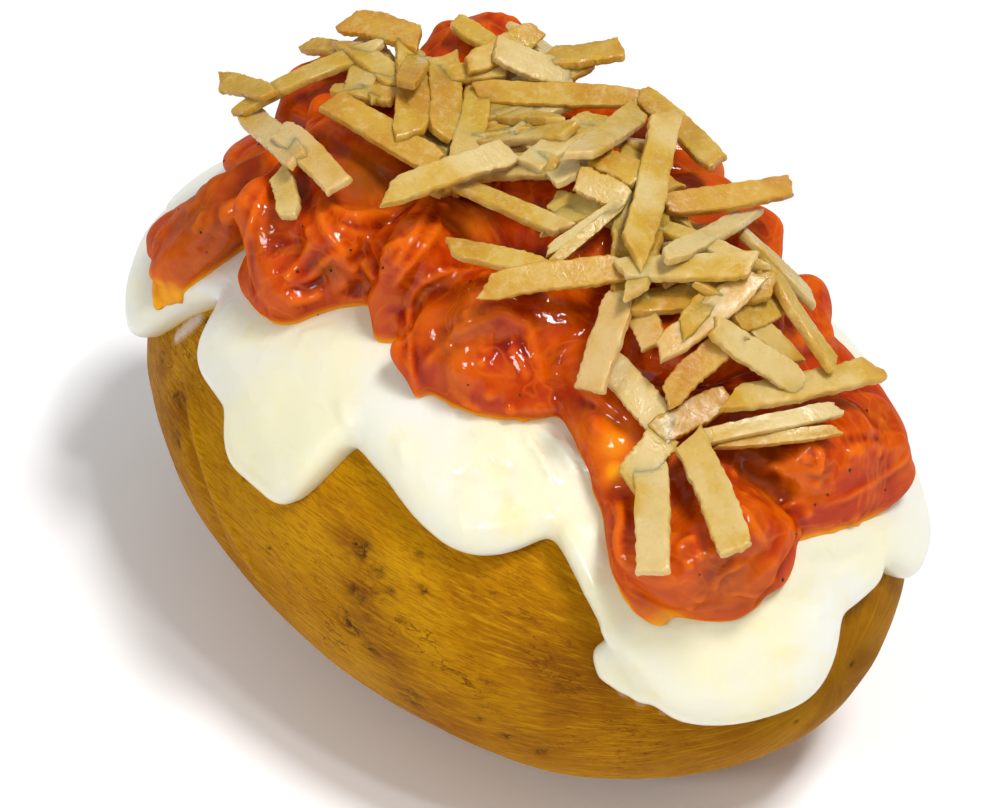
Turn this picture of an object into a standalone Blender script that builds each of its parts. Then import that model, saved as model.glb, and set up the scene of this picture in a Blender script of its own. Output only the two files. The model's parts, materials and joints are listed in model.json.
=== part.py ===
"""A stuffed baked potato: a whole potato in its skin under a draped blanket of cream, with a mound of
saucy chunks on the cream and a heap of fried potato straws on the mound.

Lengths are in millimetres and are turned into metres when a mesh is made. The origin is the middle of the
flat spot that the potato rests on, +X runs to its thick end and +Z is up.
"""

import math
import random

import bmesh
import bpy
import numpy as np
from mathutils import Matrix, Vector, noise
from mathutils.bvhtree import BVHTree

MM = 0.001
GAP = 0.35  # clearance between two solids that touch
SAUCE_GAP = 0.7  # from the cream's top to the sauce's underside
STRAW_GAP = 0.7  # the straws' clearance to the chunks, whose faces are merged where they are nearly flat

# The potato: a flattened egg, cut flat where it rests.
POTATO_LENGTH = 135.0
POTATO_WIDTH = 84.0
POTATO_HEIGHT = 66.0
TAPER = 0.12
RESTING_CUT = 1.3
SKIN_LUMP = 0.022
SKIN_LUMP_SEED = Vector((3.1, 7.4, 1.9))

# Cream and sauce are layers poured over the crown. A layer falls a base angle from the crown all round, and
# further where a tongue runs down: (bearing from +X, half width, further fall, squareness), angles in degrees.
CREAM_THICKNESS = 4.6
CREAM_BASE_FALL = 48.0
CREAM_TONGUES = (
    (341, 23, 40, 2.8),
    (7, 9, 26, 2.0),
    (25, 16, 34, 1.4),
    (62, 20, 26, 1.8),
    (104, 22, 35, 1.7),
    (146, 20, 22, 1.7),
    (182, 18, 32, 1.7),
    (214, 19, 31, 3.2),
    (258, 17, 22, 3.2),
    (301, 16, 11, 1.0),
)
SAUCE_EDGE_THICKNESS = 3.6
SAUCE_CROWN_THICKNESS = 8.0
SAUCE_BASE_FALL = 27.0
SAUCE_TONGUES = (
    (216, 12, 35, 1.6),
    (243, 15, 15, 2.0),
    (305, 24, 9, 2.0),
    (341, 18, 38, 2.6),
    (8, 19, 32, 2.0),
    (26, 13, 37, 2.0),
    (64, 22, 17, 1.8),
    (108, 26, 21, 1.6),
    (152, 20, 17, 1.8),
    (186, 18, 22, 1.6),
)
TONGUE_MERGE = 4  # how sharply two tongues meet
# The rolled edge of a layer: (distance in from the rim, share of the edge's thickness).
LIP = ((0.0, 0.0), (-0.5, 0.22), (-0.4, 0.5), (0.6, 0.78), (2.2, 0.94), (4.6, 1.0))
LAYER_ROWS = (0.85, 0.69, 0.51, 0.28)  # rows further in, as shares of the fall
CREAM_BEARINGS = 74
SAUCE_BEARINGS = 54
SAG_MARGIN = 2.2
CUTTER_FLOOR = -16.0  # how deep in the potato a layer's cutter ends


class Chunk:
    """A saucy chunk: a lumpy ball of three half sizes, turned by a heading and leant down along it."""

    def __init__(self, name, middle, half_size, heading=0.0, lean=0.0, lump=0.16):
        self.name = name
        self.middle = Vector(middle)
        self.half_size = Vector(half_size)
        self.heading = heading
        self.lean = lean
        self.lump = lump


CHUNKS = (
    Chunk("chunk_left_drape", (-36.5, -17.5, 60), (17, 8, 5.5), heading=-105, lean=50),
    Chunk("chunk_big_curl", (-17, -17, 67), (12, 12, 12), heading=-20),
    Chunk("chunk_front", (15.5, -16.5, 68), (13.5, 10.5, 10), heading=35),
    Chunk("chunk_near_tip", (52.5, -13.5, 55.5), (13.5, 12.5, 10), heading=-25),
    Chunk("chunk_right_lobe", (54.5, 7, 57), (14.5, 9, 8.5), heading=82),
    Chunk("chunk_middle", (-1.5, -15, 71), (7.5, 10, 11), heading=10),
    Chunk("chunk_brow", (-20, -5, 76), (12, 8, 7), heading=15),
    Chunk("chunk_ridge", (14, 2, 79), (13, 10, 6.5), heading=8),
    Chunk("chunk_ridge_right", (38, 1, 73), (10, 11, 7), heading=-15),
    Chunk("chunk_back_right", (23, 17, 72), (12, 10, 8.5), heading=-25),
    Chunk("chunk_crest", (-18, 13, 77), (14, 9, 7.5), heading=-10),
    Chunk("chunk_far_shoulder", (-31, 3, 72), (12, 10, 8.5), heading=35),
    Chunk("chunk_far_back", (-30, 19, 64), (13, 9, 8), heading=-20),
    Chunk("chunk_back", (3, 21, 73), (14, 10, 8.5), heading=5),
    Chunk("chunk_back_low", (38, 16, 66), (9, 8, 6.5), heading=-40),
)
CHUNK_SEGMENTS = (13, 8)
SQUARENESS = 0.86
CHUNK_REACH = 4.0  # how far past its half size a chunk's lumps may swell
CHUNK_MERGE = 0.06  # points of a cut chunk that lie closer than this become one
CHUNK_FLAT = 5.0  # faces of a cut chunk that lie within this angle of each other become one

# The straws: flat fried strips that lie across each other over a thin mat. A level is how many lie under one.
STRAW_THICKNESS = 2.1
LEVEL_HEIGHT = 1.6  # less than a straw's thickness, so that crossing straws press into each other
STRAW_STATIONS = (-0.5, 0.0, 0.5)
STRAW_BEND = 0.03  # how far its middle rises, as a share of its length
STEEPEST = 0.75  # slope of the mound that a straw still follows
OVERHANG = 9.0  # how far the mound may fall away under a straw's end before the end just juts out
MAT_MIDDLE = (10.0, -2.0)
MAT_HALF_SIZE = (47.0, 8.0)
MAT_THICKNESS = 1.6
MAT_REACH = 2  # how far the mat bridges over the hollows in the mound
MAT_BEARINGS = 26
MAT_RINGS = (0.2, 0.45, 0.72, 1.0)
GRID_HALF = (80, 50)  # the height grid has a point each millimetre
# Straws that stand out: (x, y, heading, length, width, level), with each one's middle at x and y.
STRAWS_THAT_SHOW = (
    (-39, -13, 175, 13, 3.0, 3),
    (-33, -6, 60, 22, 3.4, 1),
    (-34, -1, 5, 12, 2.8, 1),
    (-28, 3, 20, 12, 5.0, 2),
    (-27, -18, 160, 25, 4.0, 1),
    (-17, -20, 170, 17, 4.0, 1),
    (-20, -22, 148, 9, 3.2, 0),
    (-11, -11, 10, 20, 4.4, 1),
    (-19, -8, 25, 10, 2.8, 1),
    (-15, -3, 140, 18, 4.6, 1),
    (-11, -1, 135, 16, 4.6, 0.5),
    (-17, 11, 5, 9, 3.4, 1),
    (-11, 10, 75, 11, 3.8, 2),
    (-6, 12, 40, 11, 4.4, 2.5),
    (-3, 19, 50, 11, 5.2, 2),
    (-1, 11, 35, 23, 3.4, 2),
    (-7, 4, 75, 11, 3.8, 1),
    (-1, 9, 70, 14, 3.8, 2.5),
    (6, -14, 75, 19, 4.0, 2.5),
    (12, -11, 10, 22, 3.0, 2.5),
    (-6, 1, 60, 10, 3.0, 1),
    (10, -1, 165, 14, 4.6, 1),
    (12, 1, 90, 13, 4.6, 2),
    (16, 5, 110, 17, 4.0, 2.5),
    (21, 2, 15, 8, 4.6, 2),
    (22, -2, 30, 9, 3.8, 2.5),
    (21, -5, 20, 8, 4.0, 1),
    (26, -8, 85, 13, 1.8, 2),
    (26, 3, 130, 27, 5.0, 2.5),
    (37, -15, 115, 14, 4.4, 2.5),
    (17, 17, 165, 21, 4.0, 2.5),
    (32, 12, 75, 19, 3.8, 3),
    (33, 2, 60, 8, 3.8, 1),
    (37, 3, 100, 18, 3.0, 2.5),
    (44, 9, 15, 14, 3.8, 2),
    (40, -4, 45, 18, 4.0, 3),
    (20, -18, 35, 14, 3.4, 2),
    (27, -15, 50, 19, 4.0, 3),
    (38, -8, 150, 9, 3.8, 0.5),
    (46, -4, 75, 16, 4.0, 1.5),
    (50, 8, 0, 16, 3.0, 2),
    (51, -2, 25, 15, 4.0, 2),
    (47, 2, 90, 8, 3.8, 0.5),
    (43, -14, 0, 13, 4.4, 1),
    (47, -8, 80, 12, 3.8, 0.5),
    (49, -11, 80, 12, 3.8, 1),
    (56, 3, 65, 21, 4.0, 2.5),
    (56, -4, 65, 19, 2.4, 1.5),
    (58, -4, 62, 16, 1.8, 1),
    (49, -19, 100, 8, 4.4, 1),
    (55, -24, 140, 19, 4.4, 1),
    (60, -18, 155, 19, 4.6, 1),
)
RANDOM_STRAWS = 12
THICKEST = (8.0, 3.0)  # the middle of the thick part of the heap, where the rest lie
THICK_HALF_SIZE = (30.0, 11.0)
RANDOM_LENGTH = (13.0, 22.0)
RANDOM_WIDTH = (2.8, 4.6)
RANDOM_LEVELS = (0.5, 1.2, 2.0)
STRAW_SEED = 32
HEAP_MERGE = 0.004
HEAP_FLAT = 1.0


# ---------------------------------------------------------------- helpers


def new_object(name, mesh_data, collection):
    """An object of the bmesh, which is in millimetres, with its mesh in metres."""
    bmesh.ops.recalc_face_normals(mesh_data, faces=mesh_data.faces)
    mesh = bpy.data.meshes.new(name)
    mesh_data.to_mesh(mesh)
    mesh_data.free()
    mesh.transform(Matrix.Scale(MM, 4))
    obj = bpy.data.objects.new(name, mesh)
    collection.objects.link(obj)
    return obj


def finish(name, colour, roughness):
    """A plain material: colour, roughness, no metal."""
    material = bpy.data.materials.new(name)
    material.use_nodes = True
    shader = material.node_tree.nodes["Principled BSDF"]
    shader.inputs["Base Color"].default_value = (*colour, 1)
    shader.inputs["Roughness"].default_value = roughness
    shader.inputs["Metallic"].default_value = 0.0
    return material


def boolean(obj, operation, others, solver="EXACT"):
    """Joins obj with the others, or cuts them from it."""
    group = bpy.data.collections.new("operands")
    bpy.context.scene.collection.children.link(group)
    for other in others:
        group.objects.link(other)
    modifier = obj.modifiers.new("boolean", "BOOLEAN")
    modifier.operation = operation
    modifier.operand_type = "COLLECTION"
    modifier.collection = group
    modifier.solver = solver
    bpy.context.view_layer.update()
    made = bpy.data.meshes.new_from_object(obj.evaluated_get(bpy.context.evaluated_depsgraph_get()))
    obj.modifiers.clear()
    obj.data = made
    bpy.data.collections.remove(group)


def keep_largest_body(data):
    """Drops every loose scrap but the largest."""
    left = set(data.faces)
    bodies = []
    while left:
        body = [left.pop()]
        for face in body:
            # An edge that four faces share only touches the next body.
            edges = [edge for edge in face.edges if len(edge.link_faces) == 2]
            near = {other for edge in edges for other in edge.link_faces if other in left}
            left -= near
            body.extend(near)
        bodies.append(body)
    bodies.sort(key=lambda body: sum(face.calc_area() for face in body))
    scraps = [face for body in bodies[:-1] for face in body]
    bmesh.ops.delete(data, geom=scraps, context="FACES")


def tidy(obj, merge, flat):
    """Merges the points and the flat faces that a cut leaves too close together, and keeps the largest body."""
    data = bmesh.new()
    data.from_mesh(obj.data)
    bmesh.ops.remove_doubles(data, verts=data.verts, dist=merge * MM)
    bmesh.ops.dissolve_degenerate(data, edges=data.edges, dist=merge * MM)
    bmesh.ops.dissolve_limit(data, angle_limit=math.radians(flat), verts=data.verts, edges=data.edges)
    bmesh.ops.triangulate(data, faces=data.faces)
    keep_largest_body(data)
    data.to_mesh(obj.data)
    data.free()


# ---------------------------------------------------------------- potato


def skin(way, lift=0.0):
    """The point of the potato's surface in that direction from its middle, raised by lift."""
    taper = 1 + TAPER * way.x
    half = Vector((POTATO_LENGTH / 2, POTATO_WIDTH / 2 * taper, POTATO_HEIGHT / 2 * taper))
    lump = 1 + SKIN_LUMP * noise.noise(way * 1.7 + SKIN_LUMP_SEED)
    point = Vector((half.x * way.x, half.y * way.y, half.z * way.z)) * lump
    outwards = Vector((way.x / half.x, way.y / half.y, way.z / half.z)).normalized()
    return point + outwards * lift + Vector((0, 0, POTATO_HEIGHT / 2 - RESTING_CUT))


def make_potato(name, collection):
    data = bmesh.new()
    bmesh.ops.create_uvsphere(data, u_segments=38, v_segments=20, radius=1.0)
    # The sphere's poles go to the potato's ends.
    bmesh.ops.rotate(data, verts=data.verts, matrix=Matrix.Rotation(math.pi / 2, 3, "Y"))
    for vertex in data.verts:
        vertex.co = skin(vertex.co.normalized())
    geometry = [*data.verts, *data.edges, *data.faces]
    cut = bmesh.ops.bisect_plane(data, geom=geometry, plane_co=(0, 0, 0), plane_no=(0, 0, -1), clear_outer=True)
    rim = [item for item in cut["geom_cut"] if isinstance(item, bmesh.types.BMEdge)]
    bmesh.ops.contextual_create(data, geom=rim)
    return new_object(name, data, collection)


# ---------------------------------------------------------------- layers


def fall_of(bearing, base, tongues):
    """How far down from the crown a layer runs at that bearing, in radians."""
    total = 0.0
    for at, half_width, further, squareness in tongues:
        off = (math.degrees(bearing) - at + 180) % 360 - 180
        total += (further * math.exp(-1.1 * abs(off / half_width) ** (2 * squareness))) ** TONGUE_MERGE
    return math.radians(base + total ** (1 / TONGUE_MERGE))


def way_at(bearing, fall):
    """The direction at that bearing round the crown, that far down from it."""
    return Vector((math.sin(fall) * math.cos(bearing), math.sin(fall) * math.sin(bearing), math.cos(fall)))


def sag(step):
    """How far a flat face that spans that angle of the potato dips under its round surface, with a little over."""
    return SAG_MARGIN * POTATO_LENGTH / 2 * (1 - math.cos(step / 2))


class Layer:
    """A layer poured over the crown, with a rolled edge and tongues."""

    def __init__(self, bearings, base, tongues, under, edge, crown):
        self.bearings = [2 * math.pi * step / bearings for step in range(bearings)]
        self.base = base
        self.tongues = tongues
        self.under = under
        self.edge = edge
        self.crown = crown

    def rows(self, grow):
        """Rings of points of its top, from the rim in: each is a list of (bearing, fall, lift)."""
        rims = [fall_of(bearing, self.base, self.tongues) for bearing in self.bearings]
        # On a tongue's flanks the rim's straight steps are long, so they are raised clear of the round surface.
        steps = [max(abs(rim - rims[here - 1]), abs(rim - rims[here + 1 - len(rims)])) for here, rim in enumerate(rims)]
        rings = []
        for inset, share in LIP:
            lift = self.under + self.edge * share + grow * min(1.0, 4 * share)
            ring = []
            for bearing, rim, step in zip(self.bearings, rims, steps):
                reach = (skin(way_at(bearing, rim)) - skin(way_at(bearing, rim - 0.05))).length / 0.05
                ring.append((bearing, rim - (inset - grow) / reach, lift + sag(step)))
            rings.append(ring)
        shoulder = rings[-1]
        for share in LAYER_ROWS:
            rise = (self.crown - self.edge) * math.sin(math.pi / 2 * (1 - share))
            rings.append([(bearing, fall * share, lift + rise) for bearing, fall, _ in shoulder])
        return rings

    def build(self, name, collection, grow=0.0):
        """Its solid. With grow it is that much larger all round and reaches down into the potato, to cut with."""
        top = self.rows(grow)
        floor = CUTTER_FLOOR if grow else self.under
        under = []
        shares = (1.0, *LAYER_ROWS, 0.0)
        for here, ring in enumerate(top[len(LIP) - 1:]):
            step = max(shares[max(here - 1, 0)] - shares[here], shares[here] - shares[here + 1]) / shares[here]
            under.append([(bearing, fall, floor + sag(fall * step)) for bearing, fall, _ in ring])
        if grow:
            under.insert(0, [(bearing, fall, floor) for bearing, fall, _ in top[0]])
        data = bmesh.new()
        crown = data.verts.new(skin(Vector((0, 0, 1)), self.under + self.crown + grow))
        heart = data.verts.new(skin(Vector((0, 0, 1)), floor + sag(math.radians(self.base) * LAYER_ROWS[-1])))
        loops = [*reversed(top), *under]
        loops = [[data.verts.new(skin(way_at(b, fall), lift)) for b, fall, lift in loop] for loop in loops]
        count = len(self.bearings)
        for here in range(count):
            there = (here + 1) % count
            data.faces.new((crown, loops[0][here], loops[0][there]))
            data.faces.new((heart, loops[-1][there], loops[-1][here]))
            for inner, outer in zip(loops, loops[1:]):
                data.faces.new((inner[here], outer[here], outer[there], inner[there]))
        bmesh.ops.triangulate(data, faces=data.faces)
        return new_object(name, data, collection)


# ---------------------------------------------------------------- chunks


def make_ball(chunk, seed, name, collection, grow=0.0):
    """The chunk's lumpy ball, before its neighbours are cut from it."""
    data = bmesh.new()
    around, down = CHUNK_SEGMENTS
    bmesh.ops.create_uvsphere(data, u_segments=around, v_segments=down, radius=1.0)
    offset = Vector((5.17, 2.63, 9.31)) * seed
    for vertex in data.verts:
        way = vertex.co.normalized()
        boxy = [math.copysign(abs(value) ** SQUARENESS, value) for value in way]
        swell = 1 + 2 * chunk.lump * noise.noise(way * 1.35 + offset)
        vertex.co = [(size * swell + grow) * value for size, value in zip(chunk.half_size, boxy)]
    turn = Matrix.Rotation(math.radians(chunk.heading), 4, "Z") @ Matrix.Rotation(math.radians(chunk.lean), 4, "Y")
    bmesh.ops.transform(data, matrix=Matrix.Translation(chunk.middle) @ turn, verts=data.verts)
    return new_object(name, data, collection)


def make_chunks(collection, beds, balls):
    """Each chunk sits in the layers under it and against the chunks before it."""
    made = []
    for seed, chunk in enumerate(CHUNKS):
        obj = make_ball(chunk, seed, chunk.name, collection)
        near = []
        for other, ball in zip(CHUNKS[:seed], balls):
            if (other.middle - chunk.middle).length < max(other.half_size) + max(chunk.half_size) + CHUNK_REACH:
                near.append(ball)
        boolean(obj, "DIFFERENCE", beds + near)
        tidy(obj, CHUNK_MERGE, CHUNK_FLAT)
        made.append(obj)
    return made


# ---------------------------------------------------------------- straws


class HeightGrid:
    """The height of the mound at each millimetre of x and y."""

    def __init__(self, below):
        across, deep = GRID_HALF
        self.height = np.full((2 * across + 1, 2 * deep + 1), -np.inf)
        graph = bpy.context.evaluated_depsgraph_get()
        trees = [BVHTree.FromObject(obj, graph) for obj in below]
        for i, j in np.ndindex(self.height.shape):
            start = Vector((i - across, j - deep, 200)) * MM
            for tree in trees:
                hit = tree.ray_cast(start, Vector((0, 0, -1)))[0]
                if hit:
                    self.height[i, j] = max(self.height[i, j], hit.z / MM)

    def at(self, x, y):
        across, deep = GRID_HALF
        i = np.clip(np.rint(np.asarray(x) + across).astype(int), 0, 2 * across)
        j = np.clip(np.rint(np.asarray(y) + deep).astype(int), 0, 2 * deep)
        return self.height[i, j]


def settle(grid, x, y, heading, length, width):
    """The height and the two slopes at which a straw lies on the mound: its middle's height, pitch and roll."""
    along, across = np.meshgrid(np.linspace(-0.5, 0.5, 15) * length, np.linspace(-0.5, 0.5, 5) * width)
    turn = math.radians(heading)
    points_x = x + along * math.cos(turn) - across * math.sin(turn)
    points_y = y + along * math.sin(turn) + across * math.cos(turn)
    held = grid.at(points_x, points_y) + GAP
    near = held > np.max(held) - OVERHANG
    level_plane = np.stack([np.ones(near.sum()), along[near], across[near]], axis=1)
    _, pitch, roll = np.linalg.lstsq(level_plane, held[near], rcond=None)[0]
    pitch, roll = np.clip((pitch, roll), -STEEPEST, STEEPEST)
    return np.max(held - pitch * along - roll * across), pitch, roll


def straw_frame(x, y, heading, height, pitch, roll):
    """The place of a straw that lies with the middle of its underside at that height."""
    turn = math.radians(heading)
    along = Vector((math.cos(turn), math.sin(turn), pitch))
    across = Vector((-math.sin(turn), math.cos(turn), roll))
    up = along.cross(across).normalized()
    along.normalize()
    turned = Matrix((along, up.cross(along), up)).transposed().to_4x4()
    return Matrix.Translation(Vector((x, y, height)) + up * STRAW_THICKNESS / 2) @ turned


def make_straw(name, collection, frame, length, width):
    """A flat strip, a little bowed, that narrows to its ends."""
    data = bmesh.new()
    loops = []
    for station in STRAW_STATIONS:
        half = width / 2 * (1 - 0.5 * station * station)
        bow = STRAW_BEND * length * (0.25 - station * station)
        corners = [(-half, -1), (half, -1), (half, 1), (-half, 1)]
        points = [Vector((station * length, side, bow + STRAW_THICKNESS / 2 * level)) for side, level in corners]
        loops.append([data.verts.new(point) for point in points])
    data.faces.new(loops[0])
    data.faces.new(loops[-1])
    for back, front in zip(loops, loops[1:]):
        for here in range(4):
            there = (here + 1) % 4
            data.faces.new((back[here], back[there], front[there], front[here]))
    bmesh.ops.transform(data, matrix=frame, verts=data.verts)
    return new_object(name, data, collection)


def make_mat(name, collection, grid):
    """The heart of the heap: a thin mat that bridges the hollows of the mound."""
    def bridge(x, y):
        reach = np.arange(-MAT_REACH, MAT_REACH + 1)
        return float(np.max(grid.at(x + reach[:, None], y + reach[None, :]))) + GAP

    data = bmesh.new()
    bottom = data.verts.new((*MAT_MIDDLE, bridge(*MAT_MIDDLE)))
    top = data.verts.new((*MAT_MIDDLE, bottom.co.z + MAT_THICKNESS))
    loops = []
    for ring in MAT_RINGS:
        under = []
        over = []
        for step in range(MAT_BEARINGS):
            bearing = 2 * math.pi * step / MAT_BEARINGS
            x = MAT_MIDDLE[0] + ring * MAT_HALF_SIZE[0] * math.cos(bearing)
            y = MAT_MIDDLE[1] + ring * MAT_HALF_SIZE[1] * math.sin(bearing)
            height = bridge(x, y)
            under.append(data.verts.new((x, y, height)))
            over.append(data.verts.new((x, y, height + MAT_THICKNESS)))
        loops.append((under, over))
    for here in range(MAT_BEARINGS):
        there = (here + 1) % MAT_BEARINGS
        under, over = loops[0]
        data.faces.new((bottom, under[there], under[here]))
        data.faces.new((top, over[here], over[there]))
        for (under_in, over_in), (under_out, over_out) in zip(loops, loops[1:]):
            data.faces.new((under_in[here], under_in[there], under_out[there], under_out[here]))
            data.faces.new((over_in[here], over_out[here], over_out[there], over_in[there]))
        under, over = loops[-1]
        data.faces.new((over[here], under[here], under[there], over[there]))
    bmesh.ops.triangulate(data, faces=data.faces)
    return new_object(name, data, collection)


def random_straws():
    draw = random.Random(STRAW_SEED)
    for _ in range(RANDOM_STRAWS):
        bearing = draw.uniform(0, 2 * math.pi)
        ring = math.sqrt(draw.random())
        x = THICKEST[0] + ring * THICK_HALF_SIZE[0] * math.cos(bearing)
        y = THICKEST[1] + ring * THICK_HALF_SIZE[1] * math.sin(bearing)
        size = draw.uniform(*RANDOM_LENGTH), draw.uniform(*RANDOM_WIDTH)
        yield x, y, draw.uniform(0, 180), *size, draw.choice(RANDOM_LEVELS)


def make_straws(name, collection, cutters, below, clear_of):
    """Lays the straws one by one on the mound, joins them with their mat and cuts them clear of the mound."""
    grid = HeightGrid(below)
    heap = make_mat(name, collection, grid)
    strips = []
    for x, y, heading, length, width, level in [*random_straws(), *STRAWS_THAT_SHOW]:
        height, pitch, roll = settle(grid, x, y, heading, length, width)
        frame = straw_frame(x, y, heading, height + level * LEVEL_HEIGHT, pitch, roll)
        strips.append(make_straw("strip", cutters, frame, length, width))
    boolean(heap, "UNION", strips)
    boolean(heap, "DIFFERENCE", clear_of)
    tidy(heap, HEAP_MERGE, HEAP_FLAT)
    return heap


# ---------------------------------------------------------------- build


def main():
    for obj in list(bpy.data.objects):
        bpy.data.objects.remove(obj)
    parts = bpy.data.collections.new("stuffed_potato")
    bpy.context.scene.collection.children.link(parts)
    cutters = bpy.data.collections.new("cutters")
    bpy.context.scene.collection.children.link(cutters)
    skin_finish = finish("potato_skin", (0.42, 0.23, 0.025), 0.5)
    cream_finish = finish("cream", (0.93, 0.88, 0.68), 0.3)
    sauce_finish = finish("sauce", (0.52, 0.075, 0.012), 0.22)
    straw_finish = finish("straws", (0.74, 0.52, 0.2), 0.45)

    potato = make_potato("potato", parts)
    potato.data.materials.append(skin_finish)

    cream_layer = Layer(CREAM_BEARINGS, CREAM_BASE_FALL, CREAM_TONGUES, GAP, CREAM_THICKNESS, CREAM_THICKNESS)
    cream = cream_layer.build("cream", parts)
    cream.data.materials.append(cream_finish)

    sauce_floor = GAP + CREAM_THICKNESS + SAUCE_GAP
    sauce_layer = Layer(
        SAUCE_BEARINGS, SAUCE_BASE_FALL, SAUCE_TONGUES, sauce_floor, SAUCE_EDGE_THICKNESS, SAUCE_CROWN_THICKNESS
    )
    sauce = sauce_layer.build("sauce", parts)
    sauce.data.materials.append(sauce_finish)

    beds = [layer.build("layer_cutter", cutters, GAP) for layer in (cream_layer, sauce_layer)]
    balls = [make_ball(chunk, seed, "chunk_cutter", cutters, GAP) for seed, chunk in enumerate(CHUNKS)]
    chunks = make_chunks(parts, beds, balls)
    for chunk in chunks:
        chunk.data.materials.append(sauce_finish)

    wide_balls = [make_ball(chunk, seed, "chunk_cutter", cutters, STRAW_GAP) for seed, chunk in enumerate(CHUNKS)]
    straws = make_straws("straws", parts, cutters, [potato, cream, sauce, *chunks], beds + wide_balls)
    straws.data.materials.clear()
    straws.data.materials.append(straw_finish)

    for cutter in list(cutters.objects):
        bpy.data.objects.remove(cutter)
    bpy.data.collections.remove(cutters)


main()
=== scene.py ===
"""The looks of a stuffed baked potato: the skin, the cream poured over it, the saucy chunks on the cream and
the fried potato straws on the chunks. Lengths are in millimetres until a mesh is finished.
"""

import json
import math
import random

import bmesh
import bpy
import numpy as np
from mathutils import Matrix, Vector, noise
from mathutils.bvhtree import BVHTree

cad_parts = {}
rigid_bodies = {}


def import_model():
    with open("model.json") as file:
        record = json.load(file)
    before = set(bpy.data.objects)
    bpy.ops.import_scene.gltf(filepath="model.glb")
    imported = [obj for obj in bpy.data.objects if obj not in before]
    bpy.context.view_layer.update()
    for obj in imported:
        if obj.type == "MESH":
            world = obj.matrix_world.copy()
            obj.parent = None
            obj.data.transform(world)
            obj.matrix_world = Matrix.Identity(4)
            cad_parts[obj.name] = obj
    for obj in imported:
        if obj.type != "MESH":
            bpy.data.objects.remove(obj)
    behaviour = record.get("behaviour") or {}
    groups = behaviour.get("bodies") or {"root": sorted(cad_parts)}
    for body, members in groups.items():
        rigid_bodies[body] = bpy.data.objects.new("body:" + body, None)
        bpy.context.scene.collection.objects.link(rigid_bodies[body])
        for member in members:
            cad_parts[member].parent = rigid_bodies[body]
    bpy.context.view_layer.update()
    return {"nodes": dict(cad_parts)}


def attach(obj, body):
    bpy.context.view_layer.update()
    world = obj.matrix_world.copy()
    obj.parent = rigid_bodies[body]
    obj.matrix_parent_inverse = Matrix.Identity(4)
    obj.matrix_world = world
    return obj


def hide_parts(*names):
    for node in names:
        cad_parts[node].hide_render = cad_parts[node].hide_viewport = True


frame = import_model()

# ---------------------------------------------------------------- potato
# A whole baked potato in its skin: a flattened egg, thicker at +X, that rests on a small flat spot. Its skin
# is thin, ochre and brown, brushed along its length, with dark eyes, pits and one low crease from the oven.

MM = 0.001
POTATO_LENGTH = 135.0
POTATO_WIDTH = 84.0
POTATO_HEIGHT = 66.0
POTATO_TAPER = 0.12
RESTING_CUT = 1.3
SKIN_LUMP = 0.022
SKIN_LUMP_PITCH = 1.7
SKIN_LUMP_SEED = Vector((3.1, 7.4, 1.9))
SKIN_STEPS = (400, 216)  # round the potato and along it
NOISE_SEED_STEP = Vector((3.7, 5.3, 7.9))
SKIN_ROLL = 0.45  # the skin's broad unevenness
SKIN_RIPPLE = 0.16
EYE_STRETCH = (1.5, 1, 1)  # an eye is longer along the potato
# Eyes and scabs: (x, y, z, radius, depth). The first ones are a cluster on the near side.
EYES = (
    (15.3, -39.2, 43.6, 2, 0.5), (18.4, -39.3, 42.4, 1.3, 0.4), (21, -39.5, 40.8, 1, 0.3),
    (15.6, -42, 32.3, 2.2, 0.35), (23.9, -36.1, 46.9, 0.8, 0.3), (26.4, -37.8, 43, 1, 0.35),
    (55.5, -25.4, 36.9, 1.2, 0.35), (47.2, -32.2, 35.4, 1, 0.3), (24.7, -39.2, 22.9, 1.6, 0.4),
    (-29.3, -35.6, 34.9, 1.8, 0.4), (-34.9, -27.6, 46.8, 0.9, 0.3), (16.4, -41, 38, 1.5, 0.35),
    (19.8, -42, 30.2, 1.4, 0.3), (27, -40.5, 25, 1.8, 0.35), (38, -36.5, 33, 1.2, 0.3),
    (37, -37.3, 26.3, 1, 0.3), (40.2, -35.4, 23.8, 1.3, 0.35), (43.9, -32.6, 22.2, 0.9, 0.3),
    (-32.5, -33.3, 39.4, 1.6, 0.4), (-34.3, -26.2, 48.9, 1.1, 0.3),
)
# Stretches of skin that baked darker and wrinkled: (x, y, z, reach, strength).
BRUISES = (
    (12.6, -39.3, 43.6, 3.2, 0.9), (16.9, -40.8, 39.6, 3.4, 1), (19.5, -41.2, 35.5, 3.6, 0.9),
    (22.5, -41.3, 30.4, 4, 0.9), (24.1, -40.1, 24.9, 4, 0.8), (-41.4, -29.1, 39.1, 3, 0.8),
    (-32, -34, 37.6, 3.4, 0.9), (47.2, -32.1, 33.5, 6, 0.6), (43, -33, 23, 6, 0.8), (46, -33, 38, 5, 0.8),
    (52, -28.5, 38, 3.5, 0.8), (28, -37, 21, 8, 0.9), (62, -20, 22, 9, 0.6),
)
BRUISE_STRETCH = 1.3  # a bruise is longer along the potato
WRINKLE = 0.22
# Where skin peeled off under the cream's edge, and where cream smeared: (x, y, z, reach, strength).
PALE_BITS = (
    (-39, -27.8, 44.2, 1.4, 1), (-38, -27.4, 45.6, 1.7, 1), (-37.1, -26.7, 46.8, 1.7, 1),
    (-36.2, -26.1, 47.9, 1.5, 1), (53.6, -26.3, 36, 1.3, 0.7), (55.5, -25, 34.6, 1.3, 0.6),
    (57.7, -23, 33, 1.2, 0.5),
)
PALE_RISE = 0.3
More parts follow.
